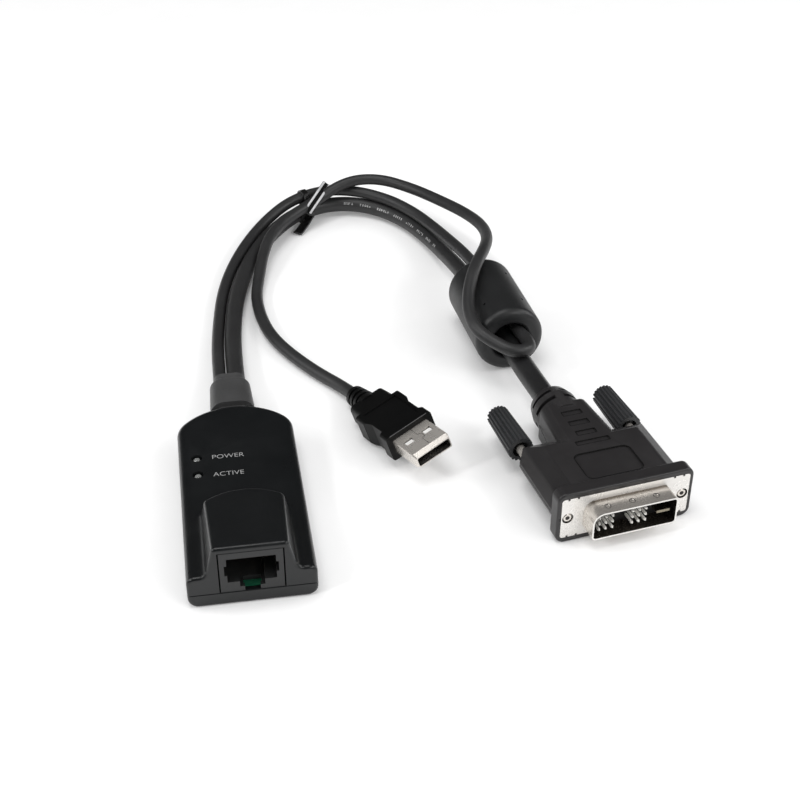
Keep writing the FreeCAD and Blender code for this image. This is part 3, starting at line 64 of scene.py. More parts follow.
# ------------------------------------------------------------------ sizes, in millimetres
CAMERA_PLACE = (-6.36, -301.31, 242.86)
CAMERA_TURN, CAMERA_PITCH, CAMERA_LENS = 9.348, 34.706, 63.26

DECK_HEIGHT = 9.5
LEGENDS = (("POWER", (-2.87, 12.3), 8.7), ("ACTIVE", (-3.10, 4.4), 8.3))   # word, centre, width
LEGEND_HEIGHT = 1.75
LEGEND_FONT_SIZE = 2.0        # before the word is scaled to its width and height
LEGEND_THINNING = 0.025
LEGEND_THICKNESS = 0.008
LEGEND_LIFT = 0.009           # the print's middle over the deck

VIDEO_CORD_DIAMETER = 5.4
USB_CORD_DIAMETER = 3.9
SLEEVE_DIAMETER = 6.7

VIDEO_ROUTE = [
    (2.1, 51.5, 4.9), (2.2, 73, 3.9), (3.5, 92.7, 2.9), (5.7, 109.5, 2.75), (9.3, 124.8, 2.75),
    (14.6, 139.7, 2.75), (22, 154.1, 2.9), (32, 165.3, 3.8), (46, 170.5, 4.2), (60, 166.7, 3.7),
    (70.2, 155.7, 3.1), (76, 141.5, 3.1), (79.3, 126.5, 4.3), (81.5, 111, 6.6),
    (83.5, 95.5, 8.1), (84.9, 79, 8.35), (86.3, 63.5, 8.35), (87.9, 49.5, 8.3), (90, 34.7, 8),
    (92.4, 19.8, 8),
]
USB_ROUTE = [
    (-2.85, 51.5, 4.9), (-2.75, 73, 3.6), (-1.3, 93, 2.4), (1.1, 113, 2.1), (5.2, 129.5, 2.4),
    (11.4, 144.7, 3.5), (19, 157.1, 5.2), (29.4, 167.1, 8), (42, 172.1, 9),
    (54.5, 170.5, 8.6), (65.8, 162.3, 8.1), (73.4, 151.1, 7.7), (78.2, 138, 8.1),
    (81.2, 124, 9.9), (83.6, 110, 12.1), (85.5, 96, 13.3), (87.3, 80, 13.5), (88.8, 67, 13.35),
    (89.3, 59.8, 12.95), (91.5, 51, 12.9), (90.6, 45.8, 13.4), (85.4, 44.4, 13.9),
    (81, 48, 14.8), (76, 52.9, 16.8), (74.7, 60.3, 18.2), (76, 69.1, 20.6), (80.2, 79.5, 24.4),
    (86.2, 92, 23.4), (90.2, 105, 20.6), (91, 118.5, 18.2), (88.2, 133, 15.6),
    (82.4, 147.7, 13.4), (74.2, 161.5, 12.4), (62.8, 169.7, 13.4), (50.6, 169.9, 13),
    (38.6, 164.8, 8.2), (28, 155.5, 7.4), (20.4, 144.7, 6.7), (16.6, 132.9, 5.3),
    (14.1, 120.9, 2.7), (12.2, 109.5, 2.1), (12.8, 95.5, 2.1), (15.4, 83, 2.1),
    (20.6, 71.5, 2.1), (27.4, 60.1, 2.1), (34.5, 50.9, 2.05), (38.5, 40.8, 3.9),
]
PRINT_FROM, PRINT_TO = 50.0, 79.0          # x of the printed stretch of the video cord
PRINT_BEYOND_Y = 120.0                     # and it lies beyond this y
PRINT_SIDE = (-0.45, -0.85, 0.55)
PRINT_LIFT = 0.012
PRINT_STEP, PRINT_SPACE = 0.85, 3.4        # from mark to mark, and from group to group
PRINT_FLAT_STROKE, PRINT_UPRIGHT_STROKE = (0.26, 0.09), (0.09, 0.42)   # half sizes
SLEEVE_FIRST = 15             # the sleeve starts midway between this route point and the next

TIE_TOP, TIE_FOOT = (41.5, 165.7, 12.0), (36.1, 162.9, 6.0)    # two points of the band's plane
TIE_LEAN = (-0.08, -0.89, 0.45)                                # and a line that lies in it
TIE_LOOP_TOP, TIE_LOOP_FOOT = (33.0, 173.0, 8.0), (34.6, 169.5, 9.0)
TIE_REACH, TIE_LOOP_REACH = 9.0, 7.0       # how far from its middle each turn looks for cords
TIE_THICKNESS = 0.6
TIE_EDGE_RADIUS = 0.12
TIE_RIB_RADIUS = 0.5
TIE_RIB_SPACING = 2.2
TIE_RIB_HIGHLIGHT_LOWEST = 7.0          # the pale ribs, a painted highlight, show above this height
TIE_WEB_HALF_WIDTH = TIE_RIB_SPACING * 0.75
TIE_LOOP_HALF_WIDTH = 1.2
TIE_LOOP_OFFSET = 0.3         # the second turn's middle line outside the cords
TIE_TAIL = ((36.2, 161.5, 4.2), (34.4, 159.2, 2.6), (32.0, 156.4, 1.1), (30.9, 155.1, 0.75))
TIE_TAIL_WIDTH = 3.4

VIDEO_PLUG = Matrix.Translation(Vector((99.62, -24.89, 0)) * MM) @ Matrix.Rotation(
    math.radians(9.18), 4, "Z")
HOOD_AXIS_Z = 8.0
HOOD_MOULD_LINE = ((19.7, 4.4), (19.7, 25.3), (17.1, 28.5), (9.2, 28.5), (7.3, 40.9))   # x, y
MOULD_LINE_RADIUS = 0.09
PLATE_HALF_HEIGHT = 6.3
HOOD_TOP_Z = 14.43            # rim of the sunk panels
LABEL_SIZE, LABEL_MIDDLE = (16.6, 11.2), 11.4
LABEL_CORNER, LABEL_LINE = 2.0, 0.15       # corner radius, and the shadow line's own radius
SLOT_CORNER, SLOT_LINE = 0.2, 0.1          # the same for the bar and the ribs
BAR_SIZE, BAR_MIDDLE = (10.0, 1.8), 21.5
RIB_SIZE, RIB_FIRST, RIB_PITCH, RIB_COUNT = (5.9, 2.1), 25.85, 4.8, 3
SCREW_SPACING = 33.32
SCREW_RECESS_Y, SCREW_RECESS_RADIUS = (0.11, 0.16), 0.62
SKIRT_HALF_HEIGHT = 4.2
DIMPLE_PITCH, DIMPLE_RADIUS, DIMPLE_Y, DIMPLE_LINE = 7.0, 0.78, -3.25, 0.09
NOTCH_SIZE, NOTCH_X, NOTCH_Y = (0.55, 0.08, 0.5), (13.9, 16.6), -0.02
NOTCH_INSET = 0.22            # a notch's middle inside the plate's edge

USB_PLUG = (Matrix.Translation(Vector((54.04, 3.4, 8.41)) * MM)
            @ Matrix.Rotation(math.radians(21.7), 4, "Z")
            @ Matrix.Rotation(math.radians(-9.5), 4, "X")
            @ Matrix.Rotation(math.radians(-15.7), 4, "Y"))
USB_SHELL_TOP = 4.5
USB_SEAM = ((0.2, 11.6), (0.2, 7.9), (1.3, 7.4), (1.3, 5.6), (0.2, 5.1), (0.2, 1.4))    # x, y
USB_SEAM_RADIUS, USB_SEAM_LIFT = 0.06, 0.01
USB_WINDOW_X, USB_WINDOW_Y = 3.1, 7.2
USB_TAB_SIZE, USB_TAB_INSET, USB_TAB_TILT = (2.5, 2.0, 0.12), 0.3, 8
# a pale line along the cover's front top edge: painted highlight
USB_FRONT_Y, USB_FRONT_Z = 11.72, 6.22
USB_FRONT_HALF_WIDTH, USB_FRONT_RADIUS = 6.4, 0.1

# ------------------------------------------------------------------ studio, in metres and watts
LAMPS = (                     # name, place, size, power
    ("top_box", (-0.10, 0.02, 0.85), (0.55, 0.45), 2.6),
    ("left_box", (-0.75, 0.20, 0.42), (0.35, 0.60), 2.0),
    ("right_box", (0.80, 0.05, 0.42), (0.35, 0.50), 2.0),
    ("front_box", (0.55, -0.60, 0.55), (0.45, 0.35), 1.9),
    ("left_glint", (-0.62, -0.27, 0.55), (0.10, 0.10), 1.4),
    ("right_glint", (0.62, -0.22, 0.52), (0.10, 0.10), 0.4),
)
LAMP_AIM = (0.05, 0.06, 0.0)
FLOOR_HALF_SIZE = 3
FLOOR_LIFT = 0.05             # light added where the camera sees the floor
FLOOR_WHITE_FROM, FLOOR_WHITE_TO = 0.30, 0.75     # distances over which it turns plain white
WORLD_SOFT, WORLD_MIRRORED, WORLD_SEEN = 0.50, 0.05, 1.0

# ------------------------------------------------------------------ surfaces, in metres
PATCH_SIZE, FINE_SIZE, SPECK_SIZE, SCRATCH_SIZE = 0.011, 0.0012, 0.00045, 0.0025
SCRATCH_STRETCH = (1, 22, 22)
DUST_COLOUR = (0.35, 0.34, 0.33)
NICKEL_COLOUR, NICKEL_METAL = (0.76, 0.72, 0.67), 0.74
# the plate: a paler, less metallic copy of the nickel, a painted reflection
PLATE_SHEEN_COLOUR, PLATE_SHEEN_METAL = (0.84, 0.82, 0.79), 0.30
# painted shade inside the skirt, and on its top near the plate
SKIRT_INSIDE_SHADE, SKIRT_FOOT_SHADE = (0.008, 0.007, 0.006), (0.10, 0.08, 0.06)
SKIRT_FOOT_FROM, SKIRT_FOOT_TO = -0.0017, -0.0006      # y along the plug, over which the painted shade on the skirt's top fades


# ------------------------------------------------------------------ camera
def make_camera():
    data = bpy.data.cameras.new("camera")
    data.lens = CAMERA_LENS
    data.sensor_width = 36.0
    data.clip_start = 0.01
    data.clip_end = 20
    cam = bpy.data.objects.new("camera", data)
    bpy.context.scene.collection.objects.link(cam)
    turn, pitch = math.radians(CAMERA_TURN), math.radians(CAMERA_PITCH)
    look = Vector((math.sin(turn) * math.cos(pitch), math.cos(turn) * math.cos(pitch),
                   -math.sin(pitch)))
    cam.location = Vector(CAMERA_PLACE) * MM
    cam.rotation_euler = look.to_track_quat("-Z", "Y").to_euler()
    bpy.context.scene.camera = cam


# ------------------------------------------------------------------ materials
class Graph:
    """A material's nodes, made and linked by short calls."""

    def __init__(self, name):
        self.mat = bpy.data.materials.new(name)
        self.mat.use_nodes = True
        self.tree = self.mat.node_tree
        self.tree.nodes.clear()
        self.out = self.tree.nodes.new("ShaderNodeOutputMaterial")
        self.coord = self.tree.nodes.new("ShaderNodeTexCoord")

    def node(self, kind, **settings):
        made = self.tree.nodes.new(kind)
        for key, value in settings.items():
            setattr(made, key, value)
        return made

    def link(self, a, b):
        self.tree.links.new(a, b)

    def noise(self, size, detail=4.0, stretch=None):
        made = self.node("ShaderNodeTexNoise")
        made.inputs["Scale"].default_value = 1 / size
        made.inputs["Detail"].default_value = detail
        made.inputs["Roughness"].default_value = 0.6
        source = self.coord.outputs["Object"]
        if stretch:
            mapping = self.node("ShaderNodeMapping")
            mapping.inputs["Scale"].default_value = stretch
            self.link(source, mapping.inputs["Vector"])
            source = mapping.outputs["Vector"]
        self.link(source, made.inputs["Vector"])
        return made.outputs["Fac"]

    def remap(self, value, low, high, to_low, to_high):
        made = self.node("ShaderNodeMapRange")
        for name, number in (("From Min", low), ("From Max", high), ("To Min", to_low),
                             ("To Max", to_high)):
            made.inputs[name].default_value = number
        self.link(value, made.inputs["Value"])
        return made.outputs["Result"]

    def mix_colour(self, fac, a, b):
        made = self.node("ShaderNodeMix", data_type="RGBA")
        for value, name in ((a, 6), (b, 7)):
            if isinstance(value, (tuple, list)):
                made.inputs[name].default_value = (*value[:3], 1)
            else:
                self.link(value, made.inputs[name])
        self.link(fac, made.inputs[0])
        return made.outputs[2]

    def bump(self, height, distance, normal=None):
        made = self.node("ShaderNodeBump")
        made.inputs["Strength"].default_value = 1.0
        made.inputs["Distance"].default_value = distance
        self.link(height, made.inputs["Height"])
        if normal is not None:
            self.link(normal, made.inputs["Normal"])
        return made.outputs["Normal"]


def surface(name, colour, rough, metal=0.0, gloss_span=0.05, grain=0.0, grain_size=0.0005,
            waves=0.0, wave_size=0.006, tone=0.10, dust=0.0, wear_and_highlight=0.0, coat=0.0, specular=0.5,
            scratch=0.0, cavity_shade=0.0, shade=None):
    """Uneven tone and gloss, fine grain, slight waviness, dust specks, and lighter edges that
    are partly rubbed wear and partly a painted highlight.

    Grain, waves and scratch are bump heights. Where a cavity depth is given, hollows of about
    that depth get painted shade inside. shade may change the base colour once more.
    """
    g = Graph(name)
    shader = g.node("ShaderNodeBsdfPrincipled")
    shader.inputs["Metallic"].default_value = metal
    shader.inputs["Specular IOR Level"].default_value = specular
    shader.inputs["Coat Weight"].default_value = coat
    shader.inputs["Coat Roughness"].default_value = 0.12
    patch, fine = g.noise(PATCH_SIZE, 5.0), g.noise(FINE_SIZE, 3.0)
    base = g.mix_colour(g.remap(patch, 0.3, 0.7, 0, 1), tuple(c * (1 - tone) for c in colour),
                        tuple(c * (1 + tone) for c in colour))
    if dust:
        speck = g.remap(g.noise(SPECK_SIZE, 2.0), 0.72, 0.77, 0, dust)
        base = g.mix_colour(speck, base, DUST_COLOUR)
    # lighter convex edges: partly rubbed wear, partly a painted highlight
    if wear_and_highlight:
        edge = g.remap(g.node("ShaderNodeNewGeometry").outputs["Pointiness"],
                       0.52, 0.60, 0, wear_and_highlight)
        base = g.mix_colour(edge, base, tuple(min(1, c * 1.8 + 0.02) for c in colour))
    # painted shade: hollows darker inside, by ambient occlusion
    if cavity_shade:
        hollow = g.node("ShaderNodeAmbientOcclusion", samples=8)
        hollow.inputs["Distance"].default_value = cavity_shade
        base = g.mix_colour(g.remap(hollow.outputs["AO"], 0.15, 0.6, 0, 1),
                            tuple(c * 0.05 for c in colour), base)
    if shade:
        base = shade(g, shader, base)
    g.link(base, shader.inputs["Base Color"])
    add = g.node("ShaderNodeMath", operation="ADD")
    g.link(g.remap(patch, 0.3, 0.7, -gloss_span, gloss_span), add.inputs[0])
    g.link(g.remap(fine, 0.3, 0.7, rough - gloss_span / 2, rough + gloss_span / 2),
           add.inputs[1])
    g.link(add.outputs[0], shader.inputs["Roughness"])
    normal = None
    if waves:
        normal = g.bump(g.noise(wave_size, 2.0), waves)
    if scratch:
        normal = g.bump(g.noise(SCRATCH_SIZE, 2.0, stretch=SCRATCH_STRETCH), scratch, normal)
    if grain:
        normal = g.bump(g.noise(grain_size, 4.0), grain, normal)
    if normal is not None:
        g.link(normal, shader.inputs["Normal"])
    g.link(shader.outputs["BSDF"], g.out.inputs["Surface"])
    return g.mat


def skirt_shade(g, shader, base):
    """Metal of the video plug's shell, with painted light and shade: faces turned to the front
    get a paler, less metallic copy, a painted reflection on the plate; the skirt gets painted
    shade inside, and more on its top towards the plate."""
    def in_plug(source, origin):
        made = g.node("ShaderNodeMapping", vector_type="TEXTURE")
        made.inputs["Location"].default_value = origin
        made.inputs["Rotation"].default_value = VIDEO_PLUG.to_euler()
        g.link(source, made.inputs["Vector"])
        return made.outputs["Vector"]

    def part(vector, axis):
        made = g.node("ShaderNodeSeparateXYZ")
        g.link(vector, made.inputs["Vector"])
        return made.outputs[axis]

    place = in_plug(g.coord.outputs["Object"], VIDEO_PLUG @ Vector((0, 0, HOOD_AXIS_Z * MM)))
    facing = in_plug(g.coord.outputs["Normal"], (0, 0, 0))
    across = g.node("ShaderNodeVectorMath", operation="MULTIPLY")
    g.link(place, across.inputs[0])
    across.inputs[1].default_value = (1, 0, 1)
    outward = g.node("ShaderNodeVectorMath", operation="DOT_PRODUCT")
    g.link(across.outputs["Vector"], outward.inputs[0])
    g.link(facing, outward.inputs[1])
    # painted shade on faces turned inwards
    base = g.mix_colour(g.remap(outward.outputs["Value"], 0, -0.001, 0, 0.97), base,
                        SKIRT_INSIDE_SHADE)
    # painted shade on the skirt's top, towards the plate
    foot = g.node("ShaderNodeMath", operation="MULTIPLY")
    g.link(g.remap(part(place, "Y"), SKIRT_FOOT_FROM, SKIRT_FOOT_TO, 0.32, 0.95),
           foot.inputs[0])
    g.link(g.remap(part(facing, "Z"), 0.6, 0.95, 0, 1), foot.inputs[1])
    base = g.mix_colour(foot.outputs["Value"], base, SKIRT_FOOT_SHADE)
    # paler, less metallic faces turned to the front: painted reflection on the plate
    front = g.remap(part(facing, "Y"), -0.7, -0.95, 0, 1)
    g.link(g.remap(front, 0, 1, NICKEL_METAL, PLATE_SHEEN_METAL), shader.inputs["Metallic"])
    return g.mix_colour(front, base, PLATE_SHEEN_COLOUR)


def clear_plastic(name):
    g = Graph(name)
    shader = g.node("ShaderNodeBsdfPrincipled")
    shader.inputs["Transmission Weight"].default_value = 0.8
    shader.inputs["IOR"].default_value = 1.52
    haze = g.noise(0.0011, 3.0)
    g.link(g.mix_colour(g.remap(haze, 0.35, 0.65, 0, 1), (0.80, 0.82, 0.80),
                        (0.93, 0.95, 0.93)), shader.inputs["Base Color"])
    g.link(g.remap(haze, 0.3, 0.7, 0.05, 0.12), shader.inputs["Roughness"])
    g.link(g.bump(haze, 0.00001), shader.inputs["Normal"])
    g.link(shader.outputs["BSDF"], g.out.inputs["Surface"])
    return g.mat


def make_materials():
    # lighter edges in these materials: rubbed wear and painted highlight in one
    return {
        "case": surface("case_abs", (0.0042, 0.0050, 0.0056), 0.33, grain=0.000009,
                        waves=0.000006, wave_size=0.014, dust=0.06, wear_and_highlight=0.1),
        "jack": surface("jack_pbt", (0.016, 0.0165, 0.017), 0.42, grain=0.00001, dust=0.08),
        "board": surface("board_mask", (0.009, 0.10, 0.052), 0.32, coat=0.5, grain=0.00001),
        "chip": surface("chip_epoxy", (0.010, 0.009, 0.009), 0.5, grain=0.00001),
        "tan": surface("ceramic", (0.45, 0.33, 0.20), 0.5, grain=0.00001),
        "gold": surface("contact_gold", (0.90, 0.78, 0.52), 0.24, metal=1.0, waves=0.000003,
                        wave_size=0.001),
        "pin": surface("pin_flash", (0.97, 0.95, 0.90), 0.3, metal=0.3, waves=0.000002),
        "steel": surface("screw_steel", (0.55, 0.55, 0.57), 0.30, metal=1.0,
                         scratch=0.000003),
        # nickel: painted shade inside its hollows
        "nickel": surface("nickel", NICKEL_COLOUR, 0.27, metal=NICKEL_METAL, gloss_span=0.04,
                          waves=0.000004, wave_size=0.004, scratch=0.0000003, tone=0.06,
                          cavity_shade=0.006),
        # the video plug's shell: painted shade and a painted reflection, from skirt_shade
        "skirt": surface("plug_nickel", NICKEL_COLOUR, 0.27, metal=NICKEL_METAL, gloss_span=0.03,
                         waves=0.000002, wave_size=0.006, tone=0.03, shade=skirt_shade),
        "cord": surface("cord_pvc", (0.021, 0.021, 0.0215), 0.45, grain=0.00001,
                        waves=0.00003, dust=0.10),
        "boot": surface("boot_pvc", (0.046, 0.046, 0.0465), 0.46, grain=0.00001, dust=0.08,
                        wear_and_highlight=0.2),
        "sleeve": surface("heat_shrink", (0.013, 0.013, 0.0135), 0.36, waves=0.00004,
                          wave_size=0.003, grain=0.000008, dust=0.08),
        "ferrite": surface("ferrite_pvc", (0.0115, 0.012, 0.0125), 0.44, grain=0.000012,
                           waves=0.00002, wave_size=0.01, dust=0.08, wear_and_highlight=0.25),
        "core": surface("ferrite_core", (0.09, 0.09, 0.095), 0.7, grain=0.00002),
        "plug": surface("plug_pvc", (0.0185, 0.0172, 0.0178), 0.36, grain=0.000012,
                        waves=0.00003, wave_size=0.009, dust=0.08, wear_and_highlight=0.3),
        # knob: painted shade in its flutes
        "knob": surface("knob_plastic", (0.022, 0.0225, 0.024), 0.34, grain=0.000008,
                        dust=0.06, wear_and_highlight=0.3, cavity_shade=0.0012),
        "usb": surface("usb_pvc", (0.0024, 0.0024, 0.0025), 0.42, grain=0.00001,
                       waves=0.00002, dust=0.06, specular=0.2),
        "tie": surface("tie_pvc", (0.005, 0.005, 0.005), 0.22, coat=0.3, waves=0.00002,
                       wave_size=0.004),
        # pale ribs over the black tie: painted highlight
        "tie_rib_highlight": surface("tie_rib_highlight", (0.55, 0.55, 0.56), 0.3, waves=0.00002,
                           wave_size=0.004),
        # the blade: a darkened copy of the gold, painted shade
        "blade": surface("blade_gold_shaded", (0.28, 0.25, 0.19), 0.3, metal=1.0, waves=0.000003),
        # pale line for the USB cover's front edge: painted highlight
        "edge": surface("painted_edge_highlight", (0.085, 0.085, 0.086), 0.4, grain=0.000004),
        "tab": surface("spring_tab", (0.86, 0.85, 0.83), 0.4, metal=0.2, grain=0.000003),
        "ink": surface("cord_ink", (0.42, 0.42, 0.42), 0.6, grain=0.000003),
        "print": surface("pad_print", (0.34, 0.34, 0.34), 0.5, grain=0.000004),
        # black for painted shadow lines on the sunk panels' rims
        "hollow": surface("hollow_shadow", (0.004, 0.004, 0.004), 0.6, grain=0.000004,
                          specular=0.2),
        # dark brown for painted shade in seams, recesses, notches and round dimples
        "groove": surface("groove_shadow", (0.02, 0.018, 0.016), 0.7, grain=0.000004),
        "lamp": clear_plastic("lamp_clear"),
    }


NODE_MATERIAL = {
    "top_cover": "case", "bottom_cover": "case", "cover_screws": "steel",
    "circuit_board": "board", "modular_jack": "jack", "jack_contacts": "gold",
    "active_light": "lamp", "power_light": "lamp", "network_transformer": "chip",
    "main_chip": "chip", "video_chip": "chip", "memory_chip": "chip", "crystal": "nickel",
    "capacitors": "tan", "cord_boot": "boot", "video_cord": "cord", "usb_cord": "cord",
    "video_cord_sleeve": "sleeve", "cord_tie": "tie", "ferrite_jacket": "ferrite",
    "ferrite_core": "core", "video_plug_hood": "plug", "video_plug_shell": "skirt",
    "video_plug_insulator": "chip", "video_plug_pins": "pin", "video_plug_blade": "blade",
    "left_jackscrew": "nickel", "right_jackscrew": "nickel", "left_screw_clip": "steel",
    "right_screw_clip": "steel", "left_thumbscrew_knob": "knob",
    "right_thumbscrew_knob": "knob", "usb_plug_cover": "usb", "usb_plug_shell": "nickel",
    "usb_plug_tongue": "chip", "usb_plug_contacts": "gold",
}


# ------------------------------------------------------------------ piece makers
def placed(ob, body="unit", matrix=None):
    """Links a piece into the scene, in place, and lets it ride on a CAD body."""
    bpy.context.scene.collection.objects.link(ob)
    if matrix is not None:
        ob.matrix_world = matrix
    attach(ob, body)
    return ob


def round_line(name, kind, points, radius, roundness, material):
    """A curve with a round section over the given points, and its one spline."""
    curve = bpy.data.curves.new(name, "CURVE")
    curve.dimensions = "3D"
    curve.bevel_depth = radius * MM
    curve.bevel_resolution = roundness
    curve.use_fill_caps = True
    spline = curve.splines.new(kind)
    spline.points.add(len(points) - 1)
    for point, co in zip(spline.points, points):
        point.co = (*(Vector(co) * MM), 1)
    curve.materials.append(material)
    return curve, spline


def cord_curve(name, points, diameter, material):
    """A cord: one smooth curve that follows its route's points."""
    curve, spline = round_line(name, "NURBS", points, diameter / 2, 10, material)
    curve.resolution_u = 10
    spline.order_u = 3
    spline.use_endpoint_u = True
    return placed(bpy.data.objects.new(name, curve))


def wire(name, points, radius, material, closed=False, matrix=None, body="unit"):
    """A thin round bar along straight runs, such as a rib or a mould line."""
    curve, spline = round_line(name, "POLY", points, radius, 4, material)
    spline.use_cyclic_u = closed
    return placed(bpy.data.objects.new(name, curve), body, matrix)


def mesh_piece(name, vertices, faces, material, matrix=None, bevel=0.0):
    """A plain mesh, its edges rounded where bevel is given."""
    mesh = bpy.data.meshes.new(name)
    mesh.from_pydata([tuple(Vector(v) * MM) for v in vertices], [], faces)
    mesh.materials.append(material)
    ob = placed(bpy.data.objects.new(name, mesh), matrix=matrix)
    if bevel:
        rounding = ob.modifiers.new("rounding", "BEVEL")
        rounding.width = bevel * MM
        rounding.segments = 3
    return ob


def block(name, centre, size, material, matrix, tilt=0.0):
    """A small box, tilted about its own x axis."""
    turn = Matrix.Rotation(math.radians(tilt), 3, "X")
    corners = [turn @ Vector((sx * size[0] / 2, sy * size[1] / 2, sz * size[2] / 2))
               + Vector(centre) for sx in (-1, 1) for sy in (-1, 1) for sz in (-1, 1)]
    faces = [(0, 1, 3, 2), (4, 6, 7, 5), (0, 4, 5, 1), (2, 3, 7, 6), (0, 2, 6, 4), (1, 5, 7, 3)]
    return mesh_piece(name, corners, faces, material, matrix)


def ribbon(name, middles, across, material, closed=False):
    """A flat band: at each middle point it is as wide as the across vector there."""
    vertices, faces, count = [], [], len(middles)
    for i, (middle, half) in enumerate(zip(middles, across)):
        middle, half = Vector(middle), Vector(half)
        before = Vector(middles[i - 1] if i or closed else middles[i])
        after = Vector(middles[(i + 1) % count] if i < count - 1 or closed else middles[i])
        rise = (after - before).cross(half).normalized() * TIE_THICKNESS / 2
        vertices += [middle - half - rise, middle + half - rise, middle + half + rise,
                     middle - half + rise]
    for i in range(count if closed else count - 1):
        a, b = 4 * i, 4 * ((i + 1) % count)
        faces += [(a + k, b + k, b + (k + 1) % 4, a + (k + 1) % 4) for k in range(4)]
    if not closed:
        faces += [(3, 2, 1, 0), tuple(4 * (count - 1) + k for k in range(4))]
    return mesh_piece(name, vertices, faces, material, bevel=TIE_EDGE_RADIUS)


# ------------------------------------------------------------------ cords
def route_points(route, steps=8):
    """Points along the smooth line that the route's cord follows."""
    points = [Vector(p) for p in route]
    middles = [(a + b) / 2 for a, b in zip(points, points[1:])]
    line = []
    for start, corner, end in zip(middles, points[1:], middles[1:]):
        for k in range(steps):
            t = k / steps
            line.append(start * (1 - t) ** 2 + corner * 2 * t * (1 - t) + end * t * t)
    return line


def make_cords(mats):
    video = cord_curve("video_cord_line", VIDEO_ROUTE, VIDEO_CORD_DIAMETER, mats["cord"])
    usb = cord_curve("usb_cord_line", USB_ROUTE, USB_CORD_DIAMETER, mats["cord"])
    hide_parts("video_cord")
    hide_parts("usb_cord")
    a, b = VIDEO_ROUTE[SLEEVE_FIRST], VIDEO_ROUTE[SLEEVE_FIRST + 1]
    start = tuple((u + v) / 2 for u, v in zip(a, b))
    sleeve = cord_curve("shrink_sleeve", [start] + VIDEO_ROUTE[SLEEVE_FIRST + 1:],
                        SLEEVE_DIAMETER, mats["sleeve"])
    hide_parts("video_cord_sleeve")
    return video, usb, sleeve


# ------------------------------------------------------------------ the tie round the cords
def turns_left(a, b, c):
    """Whether the flat way from a over b to c turns left."""
    return (b[0] - a[0]) * (c[1] - a[1]) - (b[1] - a[1]) * (c[0] - a[0]) > 0


def hull(points):
    """The convex outline of flat points, anticlockwise."""
    points = sorted(set(points))

    def half(items):
        chain = []
        for p in items:
            while len(chain) > 1 and not turns_left(chain[-2], chain[-1], p):
                chain.pop()
            chain.append(p)
        return chain[:-1]

    return half(points) + half(points[::-1])


def taut_loop(top, foot, routes, grow, reach, lean=(0, 0, 1)):
    """A band's line round the cords where they cross the plane through top, foot and lean.

    It runs the given distance outside them, and heeds the cords within reach of its middle.
    """
    top, foot = Vector(top), Vector(foot)
    up = Vector(lean).normalized()
    side = top - foot
    side = (side - up * side.dot(up)).normalized()
    normal = side.cross(up)
    middle = (top + foot) / 2
    outline = []
    for line, radius in routes:
        for a, b in zip(line, line[1:]):
            da, db = (a - middle).dot(normal), (b - middle).dot(normal)
            if da * db > 0 or da == db:
                continue
            hit = a + (b - a) * (da / (da - db)) - middle
            if hit.length > reach:
                continue
            along = (b - a).normalized()
            stretch = 1 / max(0.4, abs(along.dot(normal)))
            slant = along - normal * along.dot(normal)
            slant = slant.normalized() if slant.length > 1e-6 else side
            cross = normal.cross(slant)
            for k in range(48):
                angle = math.tau * k / 48
                p = (hit + slant * (radius + grow) * stretch * math.cos(angle)
                     + cross * (radius + grow) * math.sin(angle))
                outline.append((round(p.dot(side), 4), round(p.dot(up), 4)))
    ring = [middle + side * u + up * v for u, v in hull(outline)]
    return ring, normal


def make_tie(mats):
    lines = [(route_points(VIDEO_ROUTE), VIDEO_CORD_DIAMETER / 2),
             (route_points(USB_ROUTE), USB_CORD_DIAMETER / 2)]
    ring, normal = taut_loop(TIE_TOP, TIE_FOOT, lines, TIE_RIB_RADIUS, TIE_REACH, TIE_LEAN)
    pieces = [ribbon("tie_web", ring, [normal * TIE_WEB_HALF_WIDTH] * len(ring), mats["tie"],
                     closed=True)]
    # the ribs, pale as a painted highlight, run only over the band's upper part
    lowest = min(range(len(ring)), key=lambda i: ring[i].z)
    upper = [p for p in ring[lowest:] + ring[:lowest] if p.z > TIE_RIB_HIGHLIGHT_LOWEST]
    for side in (-1, 1):
        shifted = [p + normal * side * TIE_RIB_SPACING / 2 for p in upper]
        pieces.append(wire("tie_rib_%d" % (side + 2), shifted, TIE_RIB_RADIUS, mats["tie_rib_highlight"]))
    loop, normal = taut_loop(TIE_LOOP_TOP, TIE_LOOP_FOOT, lines, TIE_LOOP_OFFSET,
                             TIE_LOOP_REACH)
    pieces.append(ribbon("tie_second_turn", loop, [normal * TIE_LOOP_HALF_WIDTH] * len(loop),
                         mats["tie"], closed=True))
    first, last = Vector(TIE_TAIL[0]), Vector(TIE_TAIL[-1])
    across = (last - first).cross(Vector((0, 0, 1))).normalized() * TIE_TAIL_WIDTH / 2
    pieces.append(ribbon("tie_tail", TIE_TAIL, [across] * len(TIE_TAIL), mats["tie"]))
    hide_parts("cord_tie")
    return pieces


